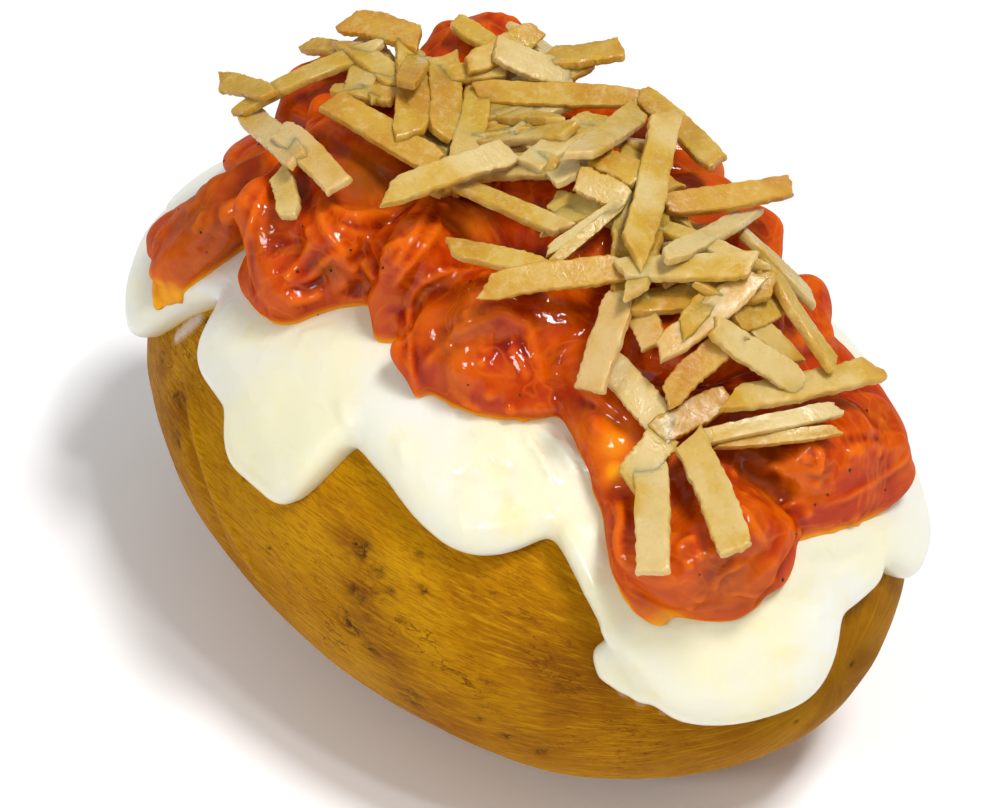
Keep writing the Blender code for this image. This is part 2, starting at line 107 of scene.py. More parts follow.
# Ridges and grooves in the skin: (height, width, the points that one runs through). Below 0 it is a groove.
SKIN_FOLDS = (
    (0.5, 0.9, ((-30.6, -32.7, 42), (-26.4, -35.4, 40), (-20.8, -38.2, 37.2), (-14.1, -40.3, 33.3),
        (-8.2, -41, 29.2), (-2.5, -40.6, 24.4))),
    (-0.6, 1.2, ((-32.7, -32.5, 40.7), (-28.5, -35.3, 38.8), (-22.7, -38.1, 35.7), (-16.7, -40, 30.8),
        (-12.3, -39.5, 24.7))),
)
SMALL_PITS = 70
SMALL_PIT_RADIUS = (0.35, 0.9)
SMALL_PIT_DEPTH = 0.3  # a share of its radius
SMALL_PIT_SCAB = 0.8
PIT_SEED = 5
CREASE_X = (-44.0, -4.0)  # where the crease along the thin end's near side starts and ends
CREASE_TILT = math.radians(-128)  # its bearing round the potato's long axis
CREASE_WIDTH = math.radians(7)
CREASE_WANDER = math.radians(4)
CREASE_DEPTH = 0.9
CREASE_ENDS = (10, 14)  # over what length it fades in and out
FIBRE_TUBE = 37  # radius of a tube about as wide as the potato


def skin(ways, lift=0.0):
    """The points of the potato's smooth surface in those directions from its middle, raised by lift."""
    taper = 1 + POTATO_TAPER * ways[:, 0]
    half = np.stack([np.ones(len(ways)), taper, taper], axis=1)
    half *= np.array((POTATO_LENGTH, POTATO_WIDTH, POTATO_HEIGHT)) / 2
    lump = [1 + SKIN_LUMP * noise.noise(Vector(way) * SKIN_LUMP_PITCH + SKIN_LUMP_SEED) for way in ways]
    outwards = ways / half
    outwards /= np.linalg.norm(outwards, axis=1)[:, None]
    middle = np.array((0.0, 0.0, POTATO_HEIGHT / 2 - RESTING_CUT))
    return half * ways * np.array(lump)[:, None] + outwards * np.reshape(lift, (-1, 1)) + middle


def noise_at(points, size, seed=0.0):
    """Smooth noise of about -1 to 1 at each point. A size is one number, or one for each axis."""
    shift = NOISE_SEED_STEP * (seed + 1)
    return np.array([noise.noise(Vector(point) + shift) for point in points / np.asarray(size)])


def points_of(mesh, what="co"):
    """Each vertex's place, or its normal."""
    values = np.zeros(len(mesh.vertices) * 3)
    mesh.vertices.foreach_get(what, values)
    return values.reshape(-1, 3)


def move_points(mesh, points):
    mesh.vertices.foreach_set("co", np.asarray(points).ravel())
    mesh.update()


def paint(mesh, name, values):
    """Keeps one number for each point of the mesh, for its material to read."""
    attribute = mesh.attributes.new(name, "FLOAT", "POINT")
    attribute.data.foreach_set("value", np.asarray(values, dtype=np.float32))


def keep_vectors(mesh, **attributes):
    for name, values in attributes.items():
        attribute = mesh.attributes.new(name, "FLOAT_VECTOR", "POINT")
        attribute.data.foreach_set("vector", np.array(values, dtype=np.float32).ravel())


def tree_of(mesh, scale=1.0):
    return BVHTree.FromPolygons(points_of(mesh) * scale, [face.vertices[:] for face in mesh.polygons])


def closeness(spots, tree, reach):
    """How near each spot is to the surface of the tree: 1 on it, and 0 from reach away."""
    away = np.array([tree.find_nearest(Vector(spot))[3] for spot in spots])
    return np.clip(1 - away / reach, 0, 1)


def add_object(name, data):
    obj = bpy.data.objects.new(name, data)
    bpy.context.scene.collection.objects.link(obj)
    return obj


def mesh_object(name, data):
    """An object of the bmesh, which is used up."""
    bmesh.ops.recalc_face_normals(data, faces=data.faces)
    mesh = bpy.data.meshes.new(name)
    data.to_mesh(mesh)
    data.free()
    return add_object(name, mesh)


def serve(obj, material, slot, *nodes, sharpest=math.pi):
    """Makes a piece metres, shades it smooth up to an angle and puts it in the frame with its material."""
    obj.data.transform(Matrix.Scale(MM, 4))
    obj.data.shade_smooth()
    if sharpest < math.pi:
        obj.data.set_sharp_from_angle(angle=sharpest)
    obj.data.materials.clear()
    obj.data.materials.append(material)
    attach(obj, "root")
    if nodes:
        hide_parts(*nodes)


def smooth_step(low, high, values):
    share = np.clip((values - low) / (high - low), 0, 1)
    return share * share * (3 - 2 * share)


def spot_shares(spots, marks):
    """How much each spot belongs to the marks, which are rows of (x, y, z, reach, strength)."""
    shares = np.zeros(len(spots))
    for x, y, z, reach, strength in marks:
        away = np.linalg.norm(spots - (x, y, z), axis=1) / reach
        shares = np.maximum(shares, strength * np.exp(-(away**2)))
    return shares


def smooth_line(points, steps=8):
    """Points close together on a smooth line through those points."""
    given = np.array(points, dtype=float)
    if len(given) == 1:
        return given
    given = np.vstack([2 * given[0] - given[1], given, 2 * given[-1] - given[-2]])
    share = np.linspace(0, 1, steps, endpoint=False)[:, None]
    pieces = []
    for a, b, c, d in zip(given, given[1:], given[2:], given[3:]):
        bend = 2 * a - 5 * b + 4 * c - d + share * (3 * b - a - 3 * c + d)
        pieces.append(b + 0.5 * share * (c - a + share * bend))
    return np.vstack([*pieces, given[-2:-1]])


def fold_rises(spots, tree, folds):
    """How much each spot rises by the folds, which are first put onto the surface of the tree."""
    rises = np.zeros(len(spots))
    for height, width, points in folds:
        line = np.array([tree.find_nearest(Vector(point))[0] for point in smooth_line(points)])
        fade = np.ones(len(line))
        if len(line) > 1:
            rising = np.linspace(0.05, 1, len(line))
            fade = np.minimum(1, 5 * np.minimum(rising, rising[::-1]))
        reach = 2.6 * width
        near = np.flatnonzero(np.all((spots > line.min(0) - reach) & (spots < line.max(0) + reach), axis=1))
        away = np.linalg.norm(spots[near][:, None] - line[None], axis=2)
        closest = away.argmin(axis=1)
        rises[near] += height * fade[closest] * np.exp(-((away.min(axis=1) / width) ** 2))
    return rises


potato_data = bmesh.new()
bmesh.ops.create_uvsphere(potato_data, u_segments=SKIN_STEPS[0], v_segments=SKIN_STEPS[1], radius=1.0)
bmesh.ops.rotate(potato_data, verts=potato_data.verts, matrix=Matrix.Rotation(math.pi / 2, 3, "Y"))
potato = mesh_object("potato_skin", potato_data)
ways = points_of(potato.data)
ways /= np.linalg.norm(ways, axis=1)[:, None]
surface = skin(ways)
move_points(potato.data, surface)
rise = SKIN_ROLL * noise_at(surface, (30, 22, 22)) + SKIN_RIPPLE * noise_at(surface, (9, 5, 5), 1)

scab = np.zeros(len(surface))
grain = noise_at(surface, 1.1, 2)
for x, y, z, radius, depth in EYES:
    away = np.linalg.norm((surface - (x, y, z)) / EYE_STRETCH, axis=1) / radius
    near = np.exp(-away**2)
    rise -= depth * near * (0.7 + 0.6 * grain)
    scab = np.maximum(scab, near * (0.75 + 0.7 * grain))
draw = random.Random(PIT_SEED)
for _ in range(SMALL_PITS):
    at = surface[draw.randrange(len(surface))]
    radius = draw.uniform(*SMALL_PIT_RADIUS)
    near = np.exp(-(np.linalg.norm(surface - at, axis=1) / radius) ** 2)
    rise -= SMALL_PIT_DEPTH * radius * near
    scab = np.maximum(scab, SMALL_PIT_SCAB * near)

around = np.arctan2(ways[:, 1], ways[:, 2])
wander = CREASE_WANDER * noise_at(surface, 14, 3)
across = np.abs((around - CREASE_TILT + wander + math.pi) % (2 * math.pi) - math.pi) / CREASE_WIDTH
along = smooth_step(CREASE_X[0], CREASE_X[0] + CREASE_ENDS[0], surface[:, 0])
along *= 1 - smooth_step(CREASE_X[1] - CREASE_ENDS[1], CREASE_X[1], surface[:, 0])
rise -= CREASE_DEPTH * along * np.exp(-(across**2))

bruise = spot_shares(surface / (BRUISE_STRETCH, 1, 1), [(x / BRUISE_STRETCH, *rest) for x, *rest in BRUISES])
pale = spot_shares(surface, PALE_BITS)
folds = fold_rises(surface, tree_of(potato.data), SKIN_FOLDS)
rise += folds
rise += WRINKLE * bruise * noise_at(surface, (2.2, 1.3, 1.3), 13) + PALE_RISE * pale
surface = skin(ways, rise)
surface[:, 2] = np.maximum(surface[:, 2], 0.0)
move_points(potato.data, surface)
paint(potato.data, "scab", np.clip(scab, 0, 1))
paint(potato.data, "bruise", bruise)
paint(potato.data, "pale", pale)
# The folds' heights, which the skin's finish turns into painted highlight along the ridge and painted shade in
# the groove.
paint(potato.data, "fold", np.clip(0.5 + folds, 0, 1))
# Places in metres on a tube round the long axis, so that the skin's fibres run from end to end.
tube = np.stack([surface[:, 0], FIBRE_TUBE * np.sin(around), FIBRE_TUBE * np.cos(around)], axis=1)
keep_vectors(potato.data, grain=tube * MM)

SKIN_OCHRE = (0.44, 0.185, 0.002)
SKIN_LIGHT = (0.54, 0.26, 0.004)
SKIN_BROWN = (0.27, 0.095, 0.002)
SKIN_DARK = (0.12, 0.038, 0.003)
SKIN_RUST = (0.21, 0.062, 0.005)
BARE_FLESH = (0.62, 0.50, 0.42)
SCAB_BROWN = (0.06, 0.02, 0.005)


def new_material(name):
    material = bpy.data.materials.new(name)
    material.use_nodes = True
    return material, material.node_tree, material.node_tree.nodes["Principled BSDF"]


def plug(tree, made, inputs):
    """Sets a node's inputs. Each is a value, or another node's output that is linked to it."""
    for name, value in inputs.items():
        if isinstance(value, bpy.types.NodeSocket):
            tree.links.new(value, made.inputs[name])
        else:
            made.inputs[name].default_value = value
    return made


def node(tree, kind, inputs=None, **settings):
    made = tree.nodes.new(kind)
    for name, value in settings.items():
        setattr(made, name, value)
    return plug(tree, made, inputs or {})


def noise_node(tree, scale, stretch=(1, 1, 1), detail=4.0, roughness=0.55, distortion=0.0, place=None):
    """Noise over the piece's own coordinates, squeezed by stretch. The scale counts features a metre."""
    place = place or node(tree, "ShaderNodeTexCoord").outputs["Object"]
    squeezed = node(tree, "ShaderNodeMapping", {"Vector": place, "Scale": stretch}).outputs["Vector"]
    sizes = {"Scale": scale, "Detail": detail, "Roughness": roughness, "Distortion": distortion}
    return node(tree, "ShaderNodeTexNoise", {"Vector": squeezed, **sizes}).outputs["Fac"]


def attribute_node(tree, name, kind="Fac"):
    return node(tree, "ShaderNodeAttribute", attribute_name=name).outputs[kind]


def ramp(tree, value, *stops):
    """Maps a value through stops of (position, grey or colour)."""
    made = node(tree, "ShaderNodeValToRGB", {"Fac": value})
    elements = made.color_ramp.elements
    while len(elements) < len(stops):
        elements.new(0.5)
    for element, (position, colour) in zip(elements, stops):
        element.position = position
        element.color = (*colour, 1) if isinstance(colour, tuple) else (colour, colour, colour, 1)
    return made.outputs["Color"]


def mix(tree, share, first, second, blend="MIX"):
    """Mixes two colours, given as values or as outputs."""
    first, second = [(*colour, 1) if isinstance(colour, tuple) else colour for colour in (first, second)]
    inputs = {0: share, 6: first, 7: second}
    return node(tree, "ShaderNodeMix", inputs, data_type="RGBA", blend_type=blend).outputs[2]


def times(tree, first, second):
    return mix(tree, 1.0, first, second, "MULTIPLY")


def cover(tree, colour, over, value, *stops):
    """Lays a colour over another, by the share that the stops give for the value."""
    return mix(tree, ramp(tree, value, *stops), colour, over)


def bump(tree, height, strength, distance, below=None):
    inputs = {"Height": height, "Strength": strength, "Distance": distance}
    if below is not None:
        inputs["Normal"] = below
    return node(tree, "ShaderNodeBump", inputs).outputs["Normal"]


def potato_skin_finish():
    material, tree, shader = new_material("potato_skin")
    grain = attribute_node(tree, "grain", "Vector")
    mottle = noise_node(tree, 38, (0.45, 1, 1), detail=5, roughness=0.6, distortion=0.6)
    colour = ramp(tree, mottle, (0.34, SKIN_BROWN), (0.50, SKIN_OCHRE), (0.66, SKIN_LIGHT))
    patches = noise_node(tree, 62, (0.55, 1, 1), detail=8, roughness=0.72)
    colour = cover(tree, colour, SKIN_RUST, patches, (0.56, 0.0), (0.74, 0.75))
    # Painted highlight and shade: the skin is lighter along the fold's ridge and browner in its groove.
    fold = attribute_node(tree, "fold")
    colour = cover(tree, colour, SKIN_LIGHT, fold, (0.55, 0.0), (0.9, 0.7))
    colour = cover(tree, colour, SKIN_BROWN, fold, (0.05, 0.6), (0.4, 0.0))
    brushed = noise_node(tree, 3400, (0.12, 1, 1), detail=3, roughness=0.6, place=grain)
    colour = cover(tree, colour, SKIN_BROWN, brushed, (0.40, 0.6), (0.52, 0.0))
    fibres = noise_node(tree, 1700, (0.14, 1, 1), detail=4, roughness=0.65, distortion=0.3, place=grain)
    colour = cover(tree, colour, SKIN_LIGHT, fibres, (0.52, 0.0), (0.66, 0.75))
    cracks = noise_node(tree, 420, (0.35, 1, 1), detail=4, roughness=0.6, distortion=0.5, place=grain)
    cracks = ramp(tree, cracks, (0.478, 0.0), (0.5, 1.0), (0.522, 0.0))
    broken = ramp(tree, noise_node(tree, 55, (0.6, 1, 1), detail=4, roughness=0.65), (0.50, 0.0), (0.64, 1.0))
    colour = mix(tree, times(tree, cracks, broken), colour, SKIN_DARK)
    bruise = times(tree, attribute_node(tree, "bruise"), ramp(tree, fibres, (0.40, 1.0), (0.62, 0.45)))
    colour = mix(tree, bruise, colour, SKIN_RUST)
    flecks = ramp(tree, noise_node(tree, 700, (0.5, 1, 1), detail=6, roughness=0.8), (0.60, 0.0), (0.68, 0.8))
    region = ramp(tree, noise_node(tree, 45, (0.6, 1, 1), detail=2), (0.48, 0.0), (0.62, 1.0))
    colour = mix(tree, times(tree, flecks, region), colour, SCAB_BROWN)
    colour = cover(tree, colour, BARE_FLESH, attribute_node(tree, "pale"), (0.3, 0.0), (0.8, 0.9))
    pores = noise_node(tree, 1100, (0.8, 1, 1), detail=3, distortion=1.0)
    pores = ramp(tree, pores, (0.40, 0.25), (0.60, 1.0))
    scabs = ramp(tree, attribute_node(tree, "scab"), (0.2, 0.0), (0.75, 0.95))
    colour = mix(tree, times(tree, scabs, pores), colour, SCAB_BROWN)
    fine = bump(tree, brushed, 0.8, 0.0003)
    coarse = bump(tree, noise_node(tree, 300, (0.4, 1, 1), detail=6, roughness=0.7), 0.8, 0.0009, fine)
    rough = ramp(tree, mottle, (0.3, 0.62), (0.7, 0.42))
    plug(tree, shader, {
        "Base Color": colour, "Roughness": rough, "Specular IOR Level": 0.02, "Normal": coarse,
    })
    return material


serve(potato, potato_skin_finish(), "potato_skin", "potato")

# ---------------------------------------------------------------- cream
# Thick cream, poured over the crown: it lies 4 to 5 mm deep, rounds over at its rim and runs down the sides
# in tongues. It is ivory, a little yellow where it is thin, and so smooth that it shines.

CREAM_THICKNESS = 4.6
CREAM_FLOOR = 0.35
LAYER_SINK = 1.3  # how far a layer presses into what it lies on, so that no air shows under its rim
CREAM_BASE_FALL = 48.0
# Tongues: (bearing from +X, half width, how much further it falls, squareness), in degrees from the crown.
CREAM_TONGUES = (
    (342, 22.5, 40, 2.1), (7, 9, 26, 2), (25, 16, 34, 1.4), (62, 20, 26, 1.8), (104, 22, 35, 1.7),
    (146, 20, 22, 1.7), (182, 18, 32, 1.7), (213, 17, 31, 3.2), (250, 13, 13.5, 2.2), (265, 11, 22, 2.4),
    (301, 16, 11, 1),
)
TONGUE_MERGE = 4
# The rolled edge of a layer: (distance in from the rim, share of the edge's thickness).
LIP = ((0.0, 0.0), (-0.5, 0.18), (-0.7, 0.36), (-0.4, 0.55), (0.5, 0.76), (2.0, 0.92), (4.6, 1.0))
LAYER_STEPS = (360, 26)  # bearings, and rows from the lip to the crown
LAYER_NUDGE = 0.05  # radians walked over the skin, to learn how many millimetres one is there
CREAM_VOXEL = 0.62
CREAM_SOFTENING = 14
CREAM_ROLL = 0.35  # the cream's broad unevenness
CREAM_RIPPLE = 0.25
CREAM_THIN = 2.6  # up to how far from the skin it shows yellow


def ways_at(bearings, falls):
    """Directions at those bearings round the crown, that far down from it."""
    out = np.sin(falls)
    return np.stack([out * np.cos(bearings), out * np.sin(bearings), np.cos(falls)], axis=-1)


def falls_at(bearings, base, tongues):
    """How far down from the crown a layer runs at those bearings."""
    total = np.zeros_like(bearings)
    for at, half_width, further, squareness in tongues:
        off = (np.degrees(bearings) - at + 180) % 360 - 180
        total += (further * np.exp(-1.1 * np.abs(off / half_width) ** (2 * squareness))) ** TONGUE_MERGE
    return np.radians(base + total ** (1 / TONGUE_MERGE))


def poured(name, base, tongues, floor, edge, crown):
    """A closed layer over the crown: its floor over the skin, and the thickness of its edge and crown."""
    bearings = np.linspace(0, 2 * math.pi, LAYER_STEPS[0], endpoint=False)
    rims = falls_at(bearings, base, tongues)
    nudged = skin(ways_at(bearings, rims - LAYER_NUDGE))
    reach = np.linalg.norm(skin(ways_at(bearings, rims)) - nudged, axis=1) / LAYER_NUDGE
    sunk = np.full_like(rims, floor - LAYER_SINK)
    rings = [(rims, sunk)]
    for inset, share in LIP:
        rings.append((rims - inset / reach, np.full_like(rims, floor + edge * share)))
    shoulder = rings[-1][0]
    for share in np.linspace(1, 0, LAYER_STEPS[1], endpoint=False)[1:]:
        thick = edge + (crown - edge) * math.sin(math.pi / 2 * (1 - share))
        rings.append((shoulder * share, np.full_like(rims, floor + thick)))
    under = [(shoulder * share, sunk) for share in (0.9, 0.7, 0.5, 0.3, 0.12)]
    data = bmesh.new()
    loops = []
    for falls, lifts in [*reversed(rings), *under]:
        loops.append([data.verts.new(point) for point in skin(ways_at(bearings, falls), lifts)])
    up = np.array([[0.0, 0.0, 1.0]])
    top = data.verts.new(skin(up, floor + crown)[0])
    heart = data.verts.new(skin(up, floor - LAYER_SINK)[0])
    for here in range(LAYER_STEPS[0]):
        there = (here + 1) % LAYER_STEPS[0]
        data.faces.new((top, loops[0][here], loops[0][there]))
        data.faces.new((heart, loops[-1][there], loops[-1][here]))
        for inner, outer in zip(loops, loops[1:]):
            data.faces.new((inner[here], outer[here], outer[there], inner[there]))
    return mesh_object(name, data)


def evaluated_mesh(obj):
    """The mesh that the object's modifiers make. They are cleared."""
    bpy.context.view_layer.update()
    made = bpy.data.meshes.new_from_object(obj.evaluated_get(bpy.context.evaluated_depsgraph_get()))
    obj.modifiers.clear()
    return made


def soften(obj, steps):
    modifier = obj.modifiers.new("soften", "SMOOTH")
    modifier.factor = 0.5
    modifier.iterations = steps


def melt(obj, others, voxel, softening):
    """Joins the others into obj as one skin, and softens what they form."""
    for other in others:
        data = bmesh.new()
        data.from_mesh(obj.data)
        data.from_mesh(other.data)
        data.to_mesh(obj.data)
        data.free()
        bpy.data.objects.remove(other)
    remesh = obj.modifiers.new("one_skin", "REMESH")
    remesh.mode = "VOXEL"
    remesh.voxel_size = voxel
    soften(obj, softening)
    obj.data = evaluated_mesh(obj)


def ball(name, middle, half_size, segments=(48, 24)):
    data = bmesh.new()
    bmesh.ops.create_uvsphere(data, u_segments=segments[0], v_segments=segments[1], radius=1.0)
    place = Matrix.Translation(middle) @ Matrix.Diagonal((*half_size, 1))
    bmesh.ops.transform(data, matrix=place, verts=data.verts)
    return mesh_object(name, data)


# Beads that hang at the tongues' edges: (x, y, z, radius).
CREAM_BEADS = (
    (51.2, -27.4, 41.2, 2.2), (52, -27.2, 39.6, 2.4), (53.6, -26.3, 38.4, 2.4), (56, -25, 37.6, 2.6),
)
# Folds and hollows that its pouring left: (height, width, the points that one runs through).
CREAM_FOLDS = (
    (0.8, 0.55, ((28.6, -21.7, 63.3), (30.9, -22.4, 62.5), (33.4, -22.8, 61.6), (35.6, -23.5, 60.8),
        (37.3, -23.7, 60.2))),
    (0.75, 0.5, ((29.1, -20.7, 63.6), (32, -20.1, 63.1), (34.5, -20.3, 62.4), (36.6, -20.8, 61.6),
        (38.1, -21.2, 61))),
    (0.65, 0.6, ((33, -19.3, 63.2), (36.4, -19.4, 62.2), (40, -19.4, 61.2))),
    (0.3, 1.2, ((31.6, -34.1, 54.6), (33.8, -32.2, 55.6), (36.1, -30, 56.3))),
    (0.35, 0.6, ((33.9, -28, 58.8), (35.2, -29.2, 57.5))),
    (0.3, 0.5, ((39.1, -25.3, 58.6), (40.3, -24.5, 58.5))),
    (0.45, 2.2, ((17.6, -27.6, 62.2), (20.3, -25.3, 62.9), (24.5, -24.1, 63), (28, -24.1, 62.4),
        (31.4, -25, 61.1))),
    (-0.3, 0.9, ((21.2, -28, 61.5), (24.2, -26.3, 62))),
    (-0.45, 1.1, ((27.4, -27.8, 60.6), (29.8, -27.2, 60.3), (32.7, -26.2, 60.2))),
    (-0.45, 1, ((23.9, -32.5, 58.3), (26.8, -30.8, 58.8), (30.3, -30.4, 58.3), (33.1, -28.4, 58.9))),
    (0.4, 1.2, ((27.1, -31.9, 58), (30.8, -30.7, 57.9))),
    (0.5, 2, ((41.1, -26.7, 56.3), (43, -26.3, 56.2), (45.6, -26.7, 54.6), (48.4, -27.6, 52.1),
        (49.7, -27.8, 51))),
    (0.35, 0.8, ((45.7, -24.2, 56.3), (48.2, -25.6, 54))),
    (0.5, 1.1, ((51.4, -28.3, 47.1), (52.3, -27.6, 43.5))),
    (0.35, 0.6, ((60.4, -18.8, 48.3), (62.7, -15.3, 48))),
    (0.45, 2, ((64.7, -11.2, 47.6), (64.4, -7.2, 49.8), (64, -4.1, 51), (64.3, -1.9, 51))),
    (0.3, 1.6, ((67.5, -12.7, 42.1), (67.2, -10.7, 44.2))),
    (0.35, 0.8, ((67.2, -4.6, 46.4), (68.7, -5.6, 43.9))),
    (0.4, 1.3, ((62.1, -3.4, 53.1), (63.3, 3.4, 51.9), (63.6, 13.1, 48.1))),
    (-0.5, 1.2, ((63.2, -4.6, 51.9), (65, 1.8, 50.2), (65, 7.4, 48.9))),
    (0.3, 1, ((3.6, -32.7, 59.6), (7.7, -34.1, 57.5))),
    (0.3, 0.9, ((-9.8, -28.5, 61), (-5.8, -26.4, 63))),
    (-0.25, 1.6, ((-14.4, -36.5, 53), (-10, -39.6, 50.1), (-3.5, -41.1, 48.6))),
    (0.3, 0.9, ((15.7, -32.4, 59.5), (18.5, -34, 57.8))),
)

cream = poured("cream_blanket", CREAM_BASE_FALL, CREAM_TONGUES, CREAM_FLOOR, CREAM_THICKNESS, CREAM_THICKNESS)
beads = [ball("bead", middle, (radius, radius, radius)) for *middle, radius in CREAM_BEADS]
melt(cream, beads, CREAM_VOXEL, CREAM_SOFTENING)
spots = points_of(cream.data)
swell = CREAM_ROLL * noise_at(spots, 16, 4) + CREAM_RIPPLE * noise_at(spots, (7, 9, 7), 5)
swell += fold_rises(spots, tree_of(cream.data), CREAM_FOLDS)
spots += points_of(cream.data, "normal") * swell[:, None]
move_points(cream.data, spots)
paint(cream.data, "rim", closeness(spots, tree_of(potato.data, 1 / MM), CREAM_THIN))

CREAM_WHITE = (0.735, 0.73, 0.665)
CREAM_IVORY = (0.765, 0.73, 0.51)
CREAM_YELLOW = (0.78, 0.64, 0.22)


def cream_finish():
    material, tree, shader = new_material("cream")
    soft = noise_node(tree, 45, detail=3, distortion=0.6)
    colour = ramp(tree, soft, (0.38, CREAM_IVORY), (0.62, CREAM_WHITE))
    clots = noise_node(tree, 120, detail=4, roughness=0.6)
    colour = cover(tree, colour, CREAM_YELLOW, clots, (0.56, 0.0), (0.72, 0.35))
    colour = cover(tree, colour, CREAM_YELLOW, attribute_node(tree, "rim"), (0.35, 0.0), (1.0, 0.8))
    plug(tree, shader, {
        "Base Color": colour, "Roughness": 0.3, "Specular IOR Level": 0.25,
        "Subsurface Weight": 0.35, "Subsurface Radius": (1.0, 0.8, 0.45), "Subsurface Scale": 0.003,
        "Coat Weight": 0.35, "Coat Roughness": 0.07,
        "Normal": bump(tree, noise_node(tree, 180, detail=2, distortion=0.8), 0.25, 0.001),
    })
    return material


serve(cream, cream_finish(), "cream", "cream")

# ---------------------------------------------------------------- sauce and chunks
# Chunks of filling in a thick, glossy tomato sauce, heaped on the cream along the crown. The sauce has run
# together over them in smooth folds, with painted shade that makes it deep red in its creases and painted
# light that makes it orange on its crests. It is also orange where it is thin.

SAUCE_FLOOR = 5.2
SAUCE_EDGE_THICKNESS = 4.05
SAUCE_CROWN_THICKNESS = 8.4
SAUCE_BASE_FALL = 27.0
SAUCE_TONGUES = (
    (216, 10, 33, 1.6), (243, 15, 15, 2), (305, 24, 9, 2), (341, 18, 38, 2.6), (8, 19, 32, 2),
    (26, 13, 37, 2), (64, 22, 17, 1.8), (108, 26, 21, 1.6), (152, 20, 17, 1.8), (186, 18, 22, 1.6),
)
# Chunks: (middle, half size, heading, lean), in the CAD's order, because a chunk's place seeds its lumps.
CHUNKS = {
    "chunk_left_drape": ((-38.6, -19.6, 59.8), (15, 7, 5.5), -148, 45),
    "chunk_big_curl": ((-16.2, -16.1, 67), (12, 12, 12), -20, 0),
    "chunk_front": ((17.4, -15.4, 68.2), (12, 10.4, 10), 35, 0),
    "chunk_near_tip": ((52.5, -13.5, 55.5), (13.5, 12.5, 10), -25, 0),
    "chunk_right_lobe": ((54.5, 7, 57), (14.5, 9, 8.5), 82, 0),
    "chunk_middle": ((2, -14.1, 70), (7.5, 10, 11), 10, 0),
    "chunk_brow": ((-20, -5, 76), (12, 8, 7), 15, 0),
    "chunk_ridge": ((14, 2, 79), (13, 10, 6.5), 8, 0),
    "chunk_ridge_right": ((38, 1, 73), (10, 11, 7), -15, 0),
    "chunk_back_right": ((23, 17, 72), (12, 10, 8.5), -25, 0),
    "chunk_crest": ((-18, 13, 77), (14, 9, 7.5), -10, 0),
    "chunk_far_shoulder": ((-31, 3, 72), (12, 10, 8.5), 35, 0),
    "chunk_far_back": ((-30, 19, 64), (13, 9, 8), -20, 0),
    "chunk_back": ((3, 21, 73), (14, 10, 8.5), 5, 0),
    "chunk_back_low": ((38, 16, 66), (9, 8, 6.5), -40, 0),
}
# Not in the CAD: a red crest of sauce that stands up behind the straws.
SAUCE_CREST = ((-23, 17, 78.6), (9.5, 7, 7.6), 20, 0)
# The chain of drops that makes a pointed drip: (x, y, z, radius).
SAUCE_DROPS = (
    (9.9, -26.2, 68, 2.2), (11.2, -26.8, 67, 1.9), (12.4, -27.1, 65.8, 1.5), (13.2, -27.2, 64.6, 1.2),
    (13.7, -27.2, 63.5, 1), (54.9, -23.8, 50.6, 2.3), (56.2, -23.6, 49.5, 1.7), (57, -23.4, 48.8, 1.2),
    (-43.2, -26.2, 50.6, 2), (-42.9, -27.2, 49.7, 1.7), (-42.3, -28.1, 49.2, 1.4),
    (-41.7, -28.8, 48.6, 1.1), (-40.6, -26.2, 52.1, 1.9), (-40.6, -27.3, 50.8, 1.4),
    (-39.9, -27.8, 50.2, 1.1), (-39, -26.8, 52.2, 1.6), (-38.3, -27.2, 51.7, 1.2), (-38, -27.5, 51.1, 0.9),
)
CHUNK_LUMP = 0.16
CHUNK_LUMP_PITCH = 1.35
CHUNK_SQUARENESS = 0.86  # below 1, a chunk is boxier than a ball
CHUNK_SEED_STEP = Vector((5.17, 2.63, 9.31))
SAUCE_VOXEL = 0.475
SAUCE_SOFTENING = 22
SAUCE_HIDDEN = 0.5  # how far inside the cream a point no longer shows
SAUCE_THINNING = 0.56
SAUCE_THIN = 1.7  # up to how far from the cream it shows yellow
FOLD_SIZE = 9.0
FOLD_WARP = 5.0  # how far the noise is pulled about before it makes folds
FOLD_HEIGHT = 0.22
RIPPLE_SIZE = (3.2, 3.2, 2.4)
RIPPLE_HEIGHT = 0.08
STRAND_HEIGHT = 0.07  # fine strands, as thick sauce has where it was stirred
STRAND_COUNT = 22
STRAND_END = (20, 40)  # they fade out over this stretch of X
# Lumps under the sauce's skin: (how many, x, y, z, reach), then their heights and widths.
LUMPS = ((26, 58, -16, 60, 11), (18, 60, 6, 60, 9), (14, -8, -22, 73, 8), (10, 20, -22, 72, 9))
LUMP_HEIGHT = (0.2, 0.55)
LUMP_WIDTH = (0.5, 1.1)
LUMP_SEED = 11
CREASE_SOFTENING = 26  # how far around it each point is compared with, to tell a crease from a crest
CREST_CONTRAST = 1.5
